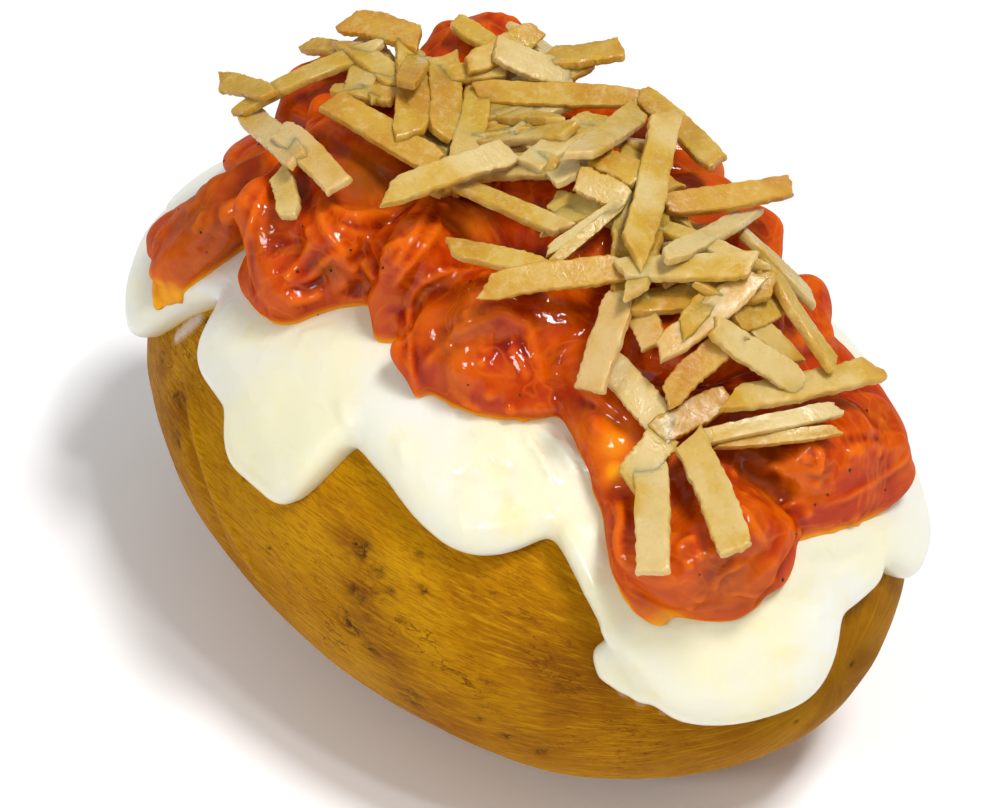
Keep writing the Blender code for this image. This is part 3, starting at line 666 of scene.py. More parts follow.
# Folds where the sauce has run: (height, width, the points that one runs through). Below 0 it is a crease.
FOLDS = (
    (0.5, 0.6, ((-22.9, -22.7, 76), (-21.2, -25.9, 75.4), (-20.7, -27.8, 73.2), (-20.9, -28.3, 70.7),
        (-19.8, -28.7, 67.3), (-18.1, -29.5, 65.4))),
    (-0.8, 2.4, ((-20.1, -24.3, 75.7), (-17.4, -26.6, 73.6), (-15.1, -27.4, 70.9))),
    (0.6, 0.9, ((-9.8, -24.9, 75.7), (-12, -25.7, 71.2), (-12.7, -27.5, 69.3), (-12.8, -28.2, 68.5))),
    (0.6, 0.8, ((-12, -28.9, 66.3), (-10.9, -27.9, 65.9), (-9.7, -26.3, 66.3), (-8.6, -25, 67.6))),
    (-0.6, 0.8, ((-11.8, -28.3, 67.4), (-10.4, -26.6, 67.8), (-9, -25.2, 69), (-7.3, -24.6, 71.2))),
    (0.45, 0.6, ((-10.3, -26.2, 68.8), (-8.8, -25.3, 71.6), (-6.8, -24.4, 74.2), (-6.3, -24.2, 73.2))),
    (0.55, 0.9, ((-15.4, -19.6, 77.8), (-13.1, -21.4, 77.5), (-9.5, -23.7, 77.1), (-7.4, -23.8, 76),
        (-6, -23.6, 74.8), (-5.6, -23.5, 73.3), (-4.6, -22.4, 72.5), (-2.8, -21.8, 74.3))),
    (0.5, 0.8, ((-14.3, -20.2, 77.6), (-10.3, -20.7, 78.1), (-7.9, -19.4, 77.9), (-7.3, -14.9, 76.3),
        (-6.2, -12, 76.1), (-6.5, -9.8, 76.6))),
    (-0.4, 0.8, ((-11.4, -21.5, 77.9), (-6.9, -20.3, 77.3), (-6.2, -15.9, 75.2), (-3.1, -16, 77.8))),
    (0.4, 0.5, ((4, -20.9, 81), (2.7, -22.3, 79.8), (-1.2, -21.1, 75.6))),
    (0.35, 0.45, ((4.4, -21.4, 80.6), (1.2, -23, 76.5))),
    (-0.9, 1.4, ((-0.9, -21.9, 75), (0.3, -24.1, 73.6), (-4.3, -22.3, 68.5), (-4.9, -22.3, 66.3))),
    (0.6, 2, ((-29.6, -18.3, 73.2), (-24.4, -24.3, 75.8), (-23.9, -26.8, 73.9))),
    (0.5, 0.7, ((-0.9, -10.7, 80.1), (3.1, -17.1, 81.4), (4.8, -20.9, 80.6), (4.1, -23.2, 77.1))),
    (0.5, 0.7, ((0, -9.8, 79.6), (4.4, -15.4, 80.4), (6.2, -19.3, 80), (5.6, -22.2, 77.5),
        (3.9, -23.1, 73.9))),
    (0.4, 0.6, ((-1.1, -12, 80.3), (-6.5, -10.7, 76.4), (-7.7, -13.5, 76.1))),
    (0.5, 0.6, ((11.8, -14.6, 77.1), (9.3, -16.9, 76.5), (8, -20, 76.1), (6, -21, 73.3),
        (6.1, -22.2, 69.9), (10.9, -26.6, 70.8), (12.3, -27.4, 68.1), (13.3, -27.2, 64.9))),
    (0.5, 0.8, ((18.7, -19.5, 78.4), (19.1, -22.8, 76.2), (17.5, -24.2, 74.3), (15.9, -25.7, 71.1),
        (14.5, -27.1, 68.3))),
    (0.6, 1, ((18.3, -23.9, 75), (19.6, -22.1, 76.3), (20.2, -20.9, 76.9), (21.3, -19.1, 77.4),
        (23, -17.7, 76.3), (23.9, -16.9, 75.7), (25.2, -17.1, 73.9), (27, -17.9, 71.5),
        (29, -18.4, 68.9))),
    (0.4, 0.8, ((23.5, -19.5, 73.2), (25.6, -19.6, 71.6), (27.5, -19.8, 69.7))),
    (-0.4, 1.6, ((21.6, -21.1, 73.9), (23.4, -19.3, 73.5))),
    (0.7, 0.8, ((47.2, -22, 62.8), (50.4, -24.6, 62.2), (51.9, -26.6, 61.5), (54.9, -28.1, 59.4))),
    (0.6, 0.8, ((63.6, -19.9, 56.2), (63.5, -20.2, 57.9), (64, -18.4, 59.4), (64.9, -16.3, 59.3))),
    (0.4, 0.5, ((64.3, -18.5, 55.2), (65.4, -16.9, 55.2), (65.9, -14, 53.6))),
    (0.5, 0.6, ((59.8, -23.8, 62.4), (59.6, -22.1, 63.1), (60.5, -20.8, 63.6))),
    (0.5, 0.6, ((57, -21.7, 63), (58.6, -23.8, 62.6))),
    (0.6, 0.8, ((61.5, -13.5, 64.9), (63.7, -14, 63.9), (65.2, -12.7, 60.5))),
    (-2.2, 1.5, ((53.8, -7, 65.2), (56.4, -5.3, 63.3), (59.1, -3.6, 61.1), (60.5, -3.9, 59.8))),
    (0.8, 0.9, ((55.8, -3.3, 63.7), (58, -3.2, 62.9), (59.8, -3.2, 60.4))),
    (0.6, 0.7, ((60, 0.6, 64.3), (58.9, 0.2, 65), (58.9, 1.8, 65.7), (60.3, 2, 64.9), (60.7, 1.1, 63.4),
        (59.8, -0.4, 63.4))),
    (0.35, 0.7, ((62.5, 1.3, 58.1), (63.1, 4.6, 58), (63.4, 7, 58.2), (62.4, 12.4, 57.1),
        (62.4, 16.1, 57.3), (61.7, 18.4, 57.8))),
    (-0.5, 0.8, ((60.5, 5.3, 65.4), (61.3, 9.7, 64.4), (60.8, 14.9, 61.3))),
    (-0.8, 0.9, ((34.1, -17.5, 69.7), (37.1, -17.4, 69.7), (40, -16.9, 69.3), (42.6, -16.1, 68.7))),
    (0.35, 0.8, ((38.1, -18.7, 68.1), (40.9, -18.4, 67.9), (43.4, -17.9, 67.3))),
    (0.5, 0.7, ((-39.2, -22.9, 65.5), (-41, -23.2, 63.1))),
    (0.5, 0.7, ((-36.9, -23.8, 66.1), (-36.3, -25.7, 64.6), (-36.6, -26.4, 63.6))),
    (0.6, 1.6, ((-23.8, -25.2, 75.6), (-24.1, -26.7, 73.8), (-29.6, -25.4, 68.7), (-30.2, -26.4, 65.9))),
    (0.4, 0.6, ((-43.9, -26, 56.9), (-43.8, -27.4, 54.6))),
    (-0.5, 1, ((-35.2, -22.7, 67.8), (-31.9, -27.1, 66.1), (-33.3, -29, 61))),
)
# Beads of filling that push up the sauce's skin: their height and width, and the point of each.
BEAD_FOLD = (0.55, 0.7)
BEADS = (
    (21.5, -25.5, 65.6), (22.7, -25, 65.2), (27.1, -22.7, 66), (27.6, -20.8, 63.9), (61.9, -23.7, 61.6),
    (62.3, -21.9, 62.3), (62.9, -20.6, 62.5), (62.6, -22, 55.3), (61.3, -22.3, 53.3),
)
# Where the sauce is clear and lets the brown filling show, with painted shade in the hollow at (54.8, -4.5,
# 63.3),
# and where it is thin: (x, y, z, reach, strength).
AMBER_AND_SHADE_SPOTS = (
    (-12.2, -14, 79, 5, 0.9), (-37, -22, 62, 8.5, 0.65), (-42, -21, 57, 6, 0.5), (-21, -26, 69, 4, 0.3),
    (54.8, -4.5, 63.3, 5, 0.5), (3.1, -8.1, 77.5, 4, 0.5), (-7.7, -25.3, 71.3, 2.2, 0.6),
    (15.6, -23.2, 77.5, 4, 0.5), (16.5, -25.8, 72.6, 2.5, 0.4), (64.9, -17.1, 58.1, 4, 0.5),
    (15.4, 27.4, 76.4, 7, 0.3),
)
YELLOW_SPOTS = (
    (-43.4, -27, 50, 3.4, 1), (-41.9, -28.6, 48.9, 3, 1), (-40.4, -27.6, 51, 3, 1),
    (-38.6, -27.4, 52, 2.6, 1), (-40.8, -28.9, 52.8, 2.2, 0.85), (-38.6, -28.4, 53.4, 2, 0.75),
    (-42.9, -29, 53.2, 1.8, 0.7), (15.4, 27.4, 76.4, 7, 0.35), (60, -20, 54, 11, 0.22),
    (15, -20, 73, 9, 0.12), (57.2, -22.8, 48.7, 4, 0.9), (37, -19.6, 66.3, 2.6, 0.35),
    (44.6, -20.4, 65, 2.2, 0.8), (42.6, -18.6, 67.3, 3.4, 0.7), (59.8, -1.1, 62.1, 3, 0.4),
    (3.5, -9.5, 78, 3, 0.5),
)


def chunk_ball(seed, middle, half_size, heading, lean):
    """The lumpy ball of a chunk."""
    obj = ball("chunk", (0, 0, 0), (1, 1, 1))
    ways = points_of(obj.data)
    ways /= np.linalg.norm(ways, axis=1)[:, None]
    lumps = [noise.noise(Vector(way) * CHUNK_LUMP_PITCH + CHUNK_SEED_STEP * seed) for way in ways]
    boxy = np.copysign(np.abs(ways) ** CHUNK_SQUARENESS, ways)
    points = boxy * half_size * (1 + 2 * CHUNK_LUMP * np.array(lumps))[:, None]
    turn = Matrix.Rotation(math.radians(heading), 3, "Z") @ Matrix.Rotation(math.radians(lean), 3, "Y")
    move_points(obj.data, points @ np.array(turn).T + middle)
    return obj


def thin_out(obj, hidden, ratio):
    """Lowers the number of faces towards that share, where they don't show."""
    group = obj.vertex_groups.new(name="hidden")
    group.add(np.flatnonzero(hidden).tolist(), 1.0, "REPLACE")
    decimate = obj.modifiers.new("thin_out", "DECIMATE")
    decimate.ratio = ratio
    decimate.vertex_group = "hidden"
    obj.data = evaluated_mesh(obj)
    obj.vertex_groups.clear()


def softened_points(obj, steps):
    """Where the object's points would lie if it were softened in that many steps."""
    soften(obj, steps)
    made = evaluated_mesh(obj)
    points = points_of(made)
    bpy.data.meshes.remove(made)
    return points


sauce = poured(
    "saucy_mound", SAUCE_BASE_FALL, SAUCE_TONGUES, SAUCE_FLOOR, SAUCE_EDGE_THICKNESS, SAUCE_CROWN_THICKNESS
)
chunks = [chunk_ball(seed, *row) for seed, row in enumerate([*CHUNKS.values(), SAUCE_CREST])]
for *middle, radius in SAUCE_DROPS:
    chunks.append(ball("drop", middle, (radius, radius, radius), segments=(24, 12)))
melt(sauce, chunks, SAUCE_VOXEL, SAUCE_SOFTENING)
cream_tree = tree_of(cream.data, 1 / MM)
under_cream = []
for spot in points_of(sauce.data):
    held, way, _, _ = cream_tree.find_nearest(Vector(spot))
    under_cream.append((Vector(spot) - held).dot(way) < -SAUCE_HIDDEN)
thin_out(sauce, under_cream, SAUCE_THINNING)

spots = points_of(sauce.data)
warp = np.stack([noise_at(spots, 13, 6 + axis) for axis in range(3)], axis=1) * FOLD_WARP
fold = np.abs(noise_at(spots + warp, FOLD_SIZE, 9)) * 2.4
ripple = noise_at(spots + warp * 1.6, RIPPLE_SIZE, 10)
rise = FOLD_HEIGHT * (np.minimum(fold, 1) - 0.6) + RIPPLE_HEIGHT * ripple
flow = np.sin(STRAND_COUNT * noise_at(spots + warp * 0.8, 20, 11))
stirred = smooth_step(-0.1, 0.25, noise_at(spots, 11, 12)) * (1 - smooth_step(*STRAND_END, spots[:, 0]))
rise += STRAND_HEIGHT * flow * stirred
draw = random.Random(LUMP_SEED)
lumps = []
for count, x, y, z, reach in LUMPS:
    for _ in range(count):
        at = (x + draw.gauss(0, reach / 2), y + draw.gauss(0, reach / 2), z + draw.gauss(0, reach / 2))
        lumps.append((draw.uniform(*LUMP_HEIGHT), draw.uniform(*LUMP_WIDTH), (at,)))
beads = [(*BEAD_FOLD, (bead,)) for bead in BEADS]
rise += fold_rises(spots, tree_of(sauce.data), [*FOLDS, *beads, *lumps])
move_points(sauce.data, spots + points_of(sauce.data, "normal") * rise[:, None])

spots = points_of(sauce.data)
# Painted shade and light: a point sunk below its softened surroundings, in a crease, gets painted shade, and
# one raised above them, on a crest, gets painted light.
crest = np.sum((spots - softened_points(sauce, CREASE_SOFTENING)) * points_of(sauce.data, "normal"), axis=1)
paint(sauce.data, "crest", np.clip(0.5 + crest * CREST_CONTRAST, 0, 1))
thin = closeness(spots, cream_tree, SAUCE_THIN)
paint(sauce.data, "thin", np.maximum(thin, spot_shares(spots, YELLOW_SPOTS)))
paint(sauce.data, "amber_and_shade", spot_shares(spots, AMBER_AND_SHADE_SPOTS))

# SAUCE_SHADED_RED is painted shade for the creases, and SAUCE_ORANGE also serves as painted light on the
# crests.
SAUCE_SHADED_RED = (0.19, 0.007, 0.001)
SAUCE_RED = (0.42, 0.031, 0.001)
SAUCE_ORANGE = (0.64, 0.105, 0.002)
SAUCE_YELLOW = (0.84, 0.36, 0.004)
SAUCE_STREAK = (0.72, 0.16, 0.004)
SAUCE_BROWN = (0.27, 0.07, 0.006)


def sauce_finish():
    material, tree, shader = new_material("sauce")
    # Painted shade in the creases and painted light on the crests.
    crest = attribute_node(tree, "crest")
    colour = ramp(tree, crest, (0.25, SAUCE_SHADED_RED), (0.52, SAUCE_RED), (0.85, SAUCE_ORANGE))
    streaks = noise_node(tree, 110, detail=4, distortion=1.5)
    colour = cover(tree, colour, SAUCE_ORANGE, streaks, (0.45, 0.0), (0.68, 0.6))
    lines = noise_node(tree, 70, detail=2, distortion=2.0)
    colour = cover(tree, colour, SAUCE_STREAK, lines, (0.43, 0.0), (0.48, 0.3), (0.53, 0.0))
    clear = noise_node(tree, 75, detail=2, distortion=0.8)
    colour = cover(tree, colour, SAUCE_BROWN, clear, (0.62, 0.0), (0.75, 0.4))
    # Brown where the sauce is clear, and painted shade in the hollow between the near tip and the right lobe.
    colour = mix(tree, attribute_node(tree, "amber_and_shade"), colour, SAUCE_BROWN)
    thin = attribute_node(tree, "thin")
    colour = cover(tree, colour, SAUCE_STREAK, thin, (0.05, 0.0), (0.55, 0.75))
    colour = cover(tree, colour, SAUCE_YELLOW, thin, (0.5, 0.0), (0.95, 1.0))
    coarse = bump(tree, noise_node(tree, 300, detail=2, distortion=1.5), 0.25, 0.0006)
    plug(tree, shader, {
        "Base Color": colour, "Roughness": 0.3, "Specular IOR Level": 0.0,
        "Subsurface Weight": 0.2, "Subsurface Radius": (1.0, 0.25, 0.08), "Subsurface Scale": 0.002,
        "Coat Weight": 0.10, "Coat IOR": 2.5, "Coat Roughness": 0.04,
        "Normal": coarse, "Coat Normal": coarse,
    })
    return material


serve(sauce, sauce_finish(), "sauce", "sauce", *CHUNKS)

# ---------------------------------------------------------------- potato straws
# Potato cut in flat strips and fried crisp: pale gold inside, toasted along the edges, with ends that are cut
# aslant or torn. Each one lies on the mound or across the ones under it.

STRAW_THICKNESS = 1.45
LEVEL_HEIGHT = 1.6
STEEPEST = 0.75  # slope of the mound that a straw still follows
OVERHANG = 9.0  # how far the mound may fall away under a straw's end before the end just juts out
GRID_HALF = (80, 50)  # the mound's height is known at each millimetre
STRAW_LIFT = 0.6
STRAW_WOBBLE = 0.25  # how far the finished straws' surface is roughened
WOBBLE_SCALE = 0.9
STRAW_SHARPEST = math.radians(38)
# Straws: (x, y, heading, length, width, level, tone). A level is how many lie under it, and a toasted straw
# has a tone of 1.
STRAWS = (
    (-41.1, -10.7, 173, 14.4, 3, 3, 0.52), (-33.4, -6.5, 51, 22.3, 3.4, 1, 0.2),
    (-35.1, 0.7, 0, 13.3, 2.8, 1, 0.67), (-29.1, 4.4, 11, 12.9, 5, 2, 1.2),
    (-29.4, -16.2, 158, 26.2, 4, 1, -0.1), (-18.3, -18.5, 167, 17.9, 4, 1, -0.1),
    (-18, -23.1, 148, 8.9, 3.2, 0, 0.12), (-12.2, -10.4, 11, 19.3, 4.4, 1, 1.05),
    (-20.7, -6.6, 19, 10.5, 2.8, 1, 0.9), (-16.1, -2.2, 139, 20.4, 4.6, 1, 0.82),
    (-12.5, 0.5, 137, 16, 4.6, 0.5, 0.79), (-18.3, 12.2, 1, 9.3, 3.4, 1, 1.11),
    (-12.6, 11.8, 85, 12.4, 3.8, 2, 1.02), (-8.2, 13.2, 44, 11.3, 4.4, 2.5, 0.24),
    (-4.8, 20.3, 46, 10.7, 5.2, 2, 1.09), (-1.7, 12.3, 38, 23.1, 3.4, 2, 0.99),
    (-8, 5.8, 62, 10.2, 3.8, 1, 0.95), (-2.2, 10.4, 70, 13.8, 3.8, 2.5, 0.19),
    (5.1, -13.6, 76, 19, 4, 2.5, -0.08), (10.7, -10.4, 12, 22.3, 3, 2.5, 0.6),
    (-6.5, 1.2, 65, 10.1, 3, 1, 0.73), (9.6, 0, 158, 18.8, 4.6, 1, -0.1),
    (10.7, 2.2, 96, 14.5, 4.6, 2, 0.25), (15, 6.2, 113, 21.2, 4, 2.5, -0.03),
    (20.4, 2.5, 11, 7.4, 4.6, 2, 0.85), (22.1, -1.8, 28, 7.4, 3.8, 2.5, 0.51),
    (19.6, -3.9, 13, 7.7, 4, 1, 0.91), (23.7, -6.4, 75, 11.8, 1.8, 2.5, 0.36),
    (24.6, -6.9, 85, 12.4, 1.5, 2.5, 0.9), (25.7, 3.3, 127, 27, 4.3, 2.5, 0.44),
    (36.5, -14.1, 117, 14.5, 4.4, 2.5, 0.12), (16, 18.3, 168, 19.9, 4, 2.5, 0.69),
    (31.6, 12.1, 68, 18.2, 3.8, 3, 1.2), (29.9, 5.4, 64, 7.7, 3.8, 1, 0.34),
    (36.2, 3.8, 104, 22, 3, 2.5, -0.1), (40.6, 12.3, 6, 13.3, 3.8, 2, -0.01),
    (39.3, -2.6, 46, 17.6, 4, 3, 0.04), (18.5, -16.5, 31, 14.6, 3.4, 2, 1.01),
    (26.8, -14, 53, 19.4, 4, 3, 1.02), (37.7, -8.6, 161, 8.2, 3.8, 0.5, 0.13),
    (44.1, -3.4, 85, 16.9, 4, 1.5, -0.1), (49.1, 8.1, 356, 15.8, 3, 2, 0.76),
    (50.4, -1, 42, 14.9, 4, 2, 0.33), (45.8, 3.3, 94, 9, 3.8, 0.5, 1.2),
    (42.5, -13.8, 359, 13, 4.4, 1, 0.27), (46.6, -7.2, 80, 12, 3.8, 0.5, 0.88),
    (48.1, -10.1, 80, 11.6, 3.8, 1, 1.2), (54.8, 3.6, 72, 22, 4, 2.5, 0.69),
    (55.3, -2.5, 66, 19.4, 2.4, 1.5, -0.1), (56.7, -2.4, 60, 16, 1.8, 1, 0.65),
    (48.4, -18.3, 97, 8.2, 4.4, 1, 0.37), (54.8, -23.3, 138, 19.2, 4.4, 1, 0.18),
    (59.1, -16.6, 156, 18.4, 4.6, 1, -0.1), (-12, 19, 9, 12, 5, 0, 0.3),
)
FILLERS = 52
LEFT_OUT = (0, 4, 5, 9, 24, 29, 45)  # fillers that would hide sauce that the photograph shows
# Straws that have soaked up sauce: their row in the list above, and how much.
STAINED = {3: 0.1, 4: 0.05, 5: 0.1, 30: 0.12, 32: 0.07, 33: 0.1, 38: 0.06, 39: 0.15, 40: 0.15, 45: 0.12}
FILLER_MIDDLE = (9.0, 1.0)
FILLER_SPREAD = (38.0, 10.0)
FILLER_LENGTH = (12.0, 21.0)
FILLER_WIDTH = (2.8, 4.6)
FILLER_LEVELS = (0.0, 0.5, 1.0, 1.5)
FILLER_TONE = (0.2, 0.9)
FILLER_SEED = 32
STRIP_KINDS = 14
STRIP_LENGTH = 14.0
STRIP_WIDTH = 4.0
STRIP_STATIONS = 26
STRIP_ENDS = {0.985: 0.9, 1.0: 0.62}  # its last stations at each end, and its share of thickness there
STRIP_TIP = 0.6  # where its ends begin, from the middle at 0 to the ends at 1
STRIP_BOW = (-0.02, 0.06)  # how far it curves up, as a share of its length
STRIP_BEND = (-0.05, 0.05)  # and sideways
STRIP_TWIST = (-0.25, 0.25)
STRIP_SLANT = (-0.8, 0.8)  # how much its ends are cut aslant
STRIP_TAPERS = ((0.45, 1.0), (0.6, 1.05))  # its share of width at either end
STRIP_SEED = 8
TONE_BASE = 0.22
TONE_SHARE = 0.5
TONE_SPREAD = 0.03


def strip_kind(name, draw):
    """One strip of the usual length and width, with its underside's middle at the origin."""
    bow = draw.uniform(*STRIP_BOW) * STRIP_LENGTH
    bend = draw.uniform(*STRIP_BEND) * STRIP_LENGTH
    twist = draw.uniform(*STRIP_TWIST)
    slants = [draw.uniform(*STRIP_SLANT) for _ in range(2)]
    tapers = [draw.uniform(*taper) for taper in STRIP_TAPERS]
    offset = Vector([draw.uniform(0, 90) for _ in range(3)])

    def uneven(*layers):
        return sum(weight * noise.noise(Vector(at) + offset) for weight, *at in layers)

    # Round its section: (across, up), each from -1 to 1. The corners are cut off a little.
    top = [(across, 1.0) for across in (-0.9, -0.6, -0.3, 0.0, 0.3, 0.6, 0.9)]
    section = [*top, (1.0, 0.72), (1.02, 0.1), (1.0, -0.72)]
    section += [(-across, -up) for across, up in section]
    data = bmesh.new()
    loops = []
    ends = sorted(STRIP_ENDS)
    stations = [-ends[1], -ends[0], *np.linspace(-0.955, 0.955, STRIP_STATIONS), *ends]
    for station in stations:
        end = 0 if station < 0 else 1
        near_end = max(0.0, (abs(station) - STRIP_TIP) / (1 - STRIP_TIP))
        rounding = STRIP_ENDS.get(abs(station), 1.0)
        loop = []
        for across, up in section:
            edge = 7 if across > 0 else -7
            ragged = uneven((0.13, station * 2.0, edge, 0), (0.13, station * 11.0, edge, 5))
            y = across * STRIP_WIDTH / 2 * (1 + (tapers[end] - 1) * near_end**2 + ragged)
            jag = uneven((0.5, y * 0.45, end * 11, 2), (0.3, y * 2.0, end * 11, 8))
            x = station * STRIP_LENGTH / 2 + near_end**2 * (slants[end] * y + jag)
            dent = uneven((0.10, x * 0.35, y * 0.5, up * 3), (0.05, x * 1.4, y * 1.6, up * 3))
            z = up * STRAW_THICKNESS / 2 * 0.9 * rounding * (1 + dent)
            roll = twist * station
            y, z = y * math.cos(roll) - z * math.sin(roll), y * math.sin(roll) + z * math.cos(roll)
            y += bend * (station * station - 0.4)
            z += STRAW_THICKNESS / 2 + bow * (0.4 - station * station)
            loop.append(data.verts.new((x, y, z)))
        loops.append(loop)
    # An end is closed across its thickness, from each point of the top to the one under it.
    count = len(section)
    last = len(top) - 1
    under = count // 2 + last
    for loop in (loops[0], loops[-1]):
        for here in range(last):
            data.faces.new((loop[here], loop[here + 1], loop[under - here - 1], loop[under - here]))
        data.faces.new(loop[last:count // 2 + 1])
        data.faces.new([*loop[under:], loop[0]])
    for back, front in zip(loops, loops[1:]):
        for here in range(count):
            there = (here + 1) % count
            data.faces.new((back[here], back[there], front[there], front[here]))
    obj = mesh_object(name, data)
    edges = np.array([max(abs(across), 0.9 * (abs(up) < 0.9)) for across, up in section])
    paint(obj.data, "rim", np.maximum(np.tile(edges, len(stations)), np.repeat(np.abs(stations), count)))
    return obj


def mound_heights():
    """The height of the CAD's mound at each millimetre of x and y."""
    across, deep = GRID_HALF
    heights = np.full((2 * across + 1, 2 * deep + 1), -np.inf)
    trees = [tree_of(frame["nodes"][name].data, 1 / MM) for name in ("potato", "cream", "sauce", *CHUNKS)]
    for i, j in np.ndindex(heights.shape):
        for tree in trees:
            hit = tree.ray_cast(Vector((i - across, j - deep, 200)), Vector((0, 0, -1)))[0]
            if hit:
                heights[i, j] = max(heights[i, j], hit.z)
    return heights


def settle(heights, x, y, heading, length, width, level):
    """How a straw lies on the mound: the place of its underside's middle, its turn and its size."""
    cosine, sine = math.cos(math.radians(heading)), math.sin(math.radians(heading))
    along, across = np.meshgrid(np.linspace(-0.5, 0.5, 15) * length, np.linspace(-0.5, 0.5, 5) * width)
    i = np.rint(x + along * cosine - across * sine + GRID_HALF[0]).astype(int)
    j = np.rint(y + along * sine + across * cosine + GRID_HALF[1]).astype(int)
    held = heights[np.clip(i, 0, 2 * GRID_HALF[0]), np.clip(j, 0, 2 * GRID_HALF[1])] + STRAW_LIFT
    near = held > np.max(held) - OVERHANG
    level_plane = np.stack([np.ones(near.sum()), along[near], across[near]], axis=1)
    _, pitch, roll = np.linalg.lstsq(level_plane, held[near], rcond=None)[0]
    pitch, roll = np.clip((pitch, roll), -STEEPEST, STEEPEST)
    height = float(np.max(held - pitch * along - roll * across))
    ahead = Vector((cosine, sine, pitch))
    up = ahead.cross(Vector((-sine, cosine, roll))).normalized()
    ahead.normalize()
    turn = Matrix((ahead, up.cross(ahead), up)).transposed().to_euler()
    return (x, y, height + level * LEVEL_HEIGHT), turn, (length / STRIP_LENGTH, width / STRIP_WIDTH, 1.0)


def filler_straws():
    draw = random.Random(FILLER_SEED)
    for _ in range(FILLERS):
        bearing = draw.uniform(0, 2 * math.pi)
        reach = math.sqrt(draw.random())
        x = FILLER_MIDDLE[0] + reach * FILLER_SPREAD[0] * math.cos(bearing)
        y = FILLER_MIDDLE[1] + reach * FILLER_SPREAD[1] * math.sin(bearing)
        size = draw.uniform(*FILLER_LENGTH), draw.uniform(*FILLER_WIDTH)
        yield x, y, draw.uniform(0, 180), *size, draw.choice(FILLER_LEVELS), draw.uniform(*FILLER_TONE)


def points_object(name, spots, turns, sizes, kinds, **marks):
    """Bare points to lay small things on, and what each point says of its own."""
    mesh = bpy.data.meshes.new(name)
    mesh.from_pydata(spots, [], [])
    keep_vectors(mesh, turn=turns, size=sizes)
    mesh.attributes.new("kind", "INT", "POINT").data.foreach_set("value", kinds)
    for mark, values in marks.items():
        paint(mesh, mark, values)
    return add_object(name, mesh)


def straw_places(rows):
    draw = random.Random(STRIP_SEED)
    tones = [TONE_BASE + TONE_SHARE * row[-1] + draw.uniform(-TONE_SPREAD, TONE_SPREAD) for row in rows]
    kinds = [draw.randrange(STRIP_KINDS) for _ in rows]
    heights = mound_heights()
    kept = [place for place in range(len(rows)) if place not in LEFT_OUT]
    spots, turns, sizes = zip(*[settle(heights, *rows[place][:-1]) for place in kept])
    marks = {
        "tone": [tones[place] for place in kept],
        "stain": [STAINED.get(place - FILLERS, 0.0) for place in kept],
    }
    return points_object("potato_straws", spots, turns, sizes, [kinds[place] for place in kept], **marks)


def laying_tree():
    """Lays one of the kinds on each point, as its attributes say, and roughens what it laid."""
    tree = bpy.data.node_groups.new("lay_kinds", "GeometryNodeTree")
    sockets = {"Geometry": "Geometry", "Kinds": "Collection", "Wobble": "Float", "Finish": "Material"}
    for name, kind in sockets.items():
        tree.interface.new_socket(name, in_out="INPUT", socket_type=f"NodeSocket{kind}")
    tree.interface.new_socket("Geometry", in_out="OUTPUT", socket_type="NodeSocketGeometry")
    given = node(tree, "NodeGroupInput").outputs

    def named(name, kind):
        made = node(tree, "GeometryNodeInputNamedAttribute", {"Name": name}, data_type=kind)
        return made.outputs["Attribute"]

    kinds = node(tree, "GeometryNodeCollectionInfo", {
        "Collection": given["Kinds"], "Separate Children": True,
    })
    turn = node(tree, "FunctionNodeEulerToRotation", {"Euler": named("turn", "FLOAT_VECTOR")})
    laid = node(tree, "GeometryNodeInstanceOnPoints", {
        "Points": given["Geometry"],
        "Instance": kinds.outputs["Instances"],
        "Pick Instance": True,
        "Instance Index": named("kind", "INT"),
        "Rotation": turn.outputs["Rotation"],
        "Scale": named("size", "FLOAT_VECTOR"),
    })
    real = node(tree, "GeometryNodeRealizeInstances", {"Geometry": laid.outputs["Instances"]})
    rough = node(tree, "ShaderNodeTexNoise", {"Scale": WOBBLE_SCALE, "Detail": 3.0}).outputs["Color"]
    centred = node(tree, "ShaderNodeVectorMath", {0: rough, 1: (0.5, 0.5, 0.5)}, operation="SUBTRACT")
    sized = {0: centred.outputs[0], "Scale": given["Wobble"]}
    offset = node(tree, "ShaderNodeVectorMath", sized, operation="SCALE").outputs[0]
    moved = node(tree, "GeometryNodeSetPosition", {"Geometry": real.outputs[0], "Offset": offset})
    dressed = node(tree, "GeometryNodeSetMaterial", {
        "Geometry": moved.outputs[0], "Material": given["Finish"],
    })
    node(tree, "NodeGroupOutput", {"Geometry": dressed.outputs[0]})
    return tree


def lay_kinds(obj, make, count, seed, wobble, material):
    """Lays small things on the object's points. They come in that many kinds, which make builds."""
    kinds = bpy.data.collections.new("kinds")
    bpy.context.scene.collection.children.link(kinds)
    for kind in range(count):
        made = make(f"kind_{kind:02d}", random.Random(seed + kind))
        bpy.context.scene.collection.objects.unlink(made)
        kinds.objects.link(made)
    modifier = obj.modifiers.new("lay_kinds", "NODES")
    modifier.node_group = laying_tree()
    given = {"Kinds": kinds, "Wobble": wobble, "Finish": material}
    for item in modifier.node_group.interface.items_tree:
        if item.name in given:
            modifier[item.identifier] = given[item.name]
    obj.data = evaluated_mesh(obj)
    for made in list(kinds.objects):
        bpy.data.objects.remove(made)
    bpy.data.collections.remove(kinds)


STRAW_PALE = (0.575, 0.435, 0.185)
STRAW_GOLD = (0.50, 0.31, 0.036)
STRAW_BROWN = (0.44, 0.215, 0.02)
STRAW_TOAST = (0.33, 0.13, 0.012)
STRAW_STAIN = (0.62, 0.17, 0.05)


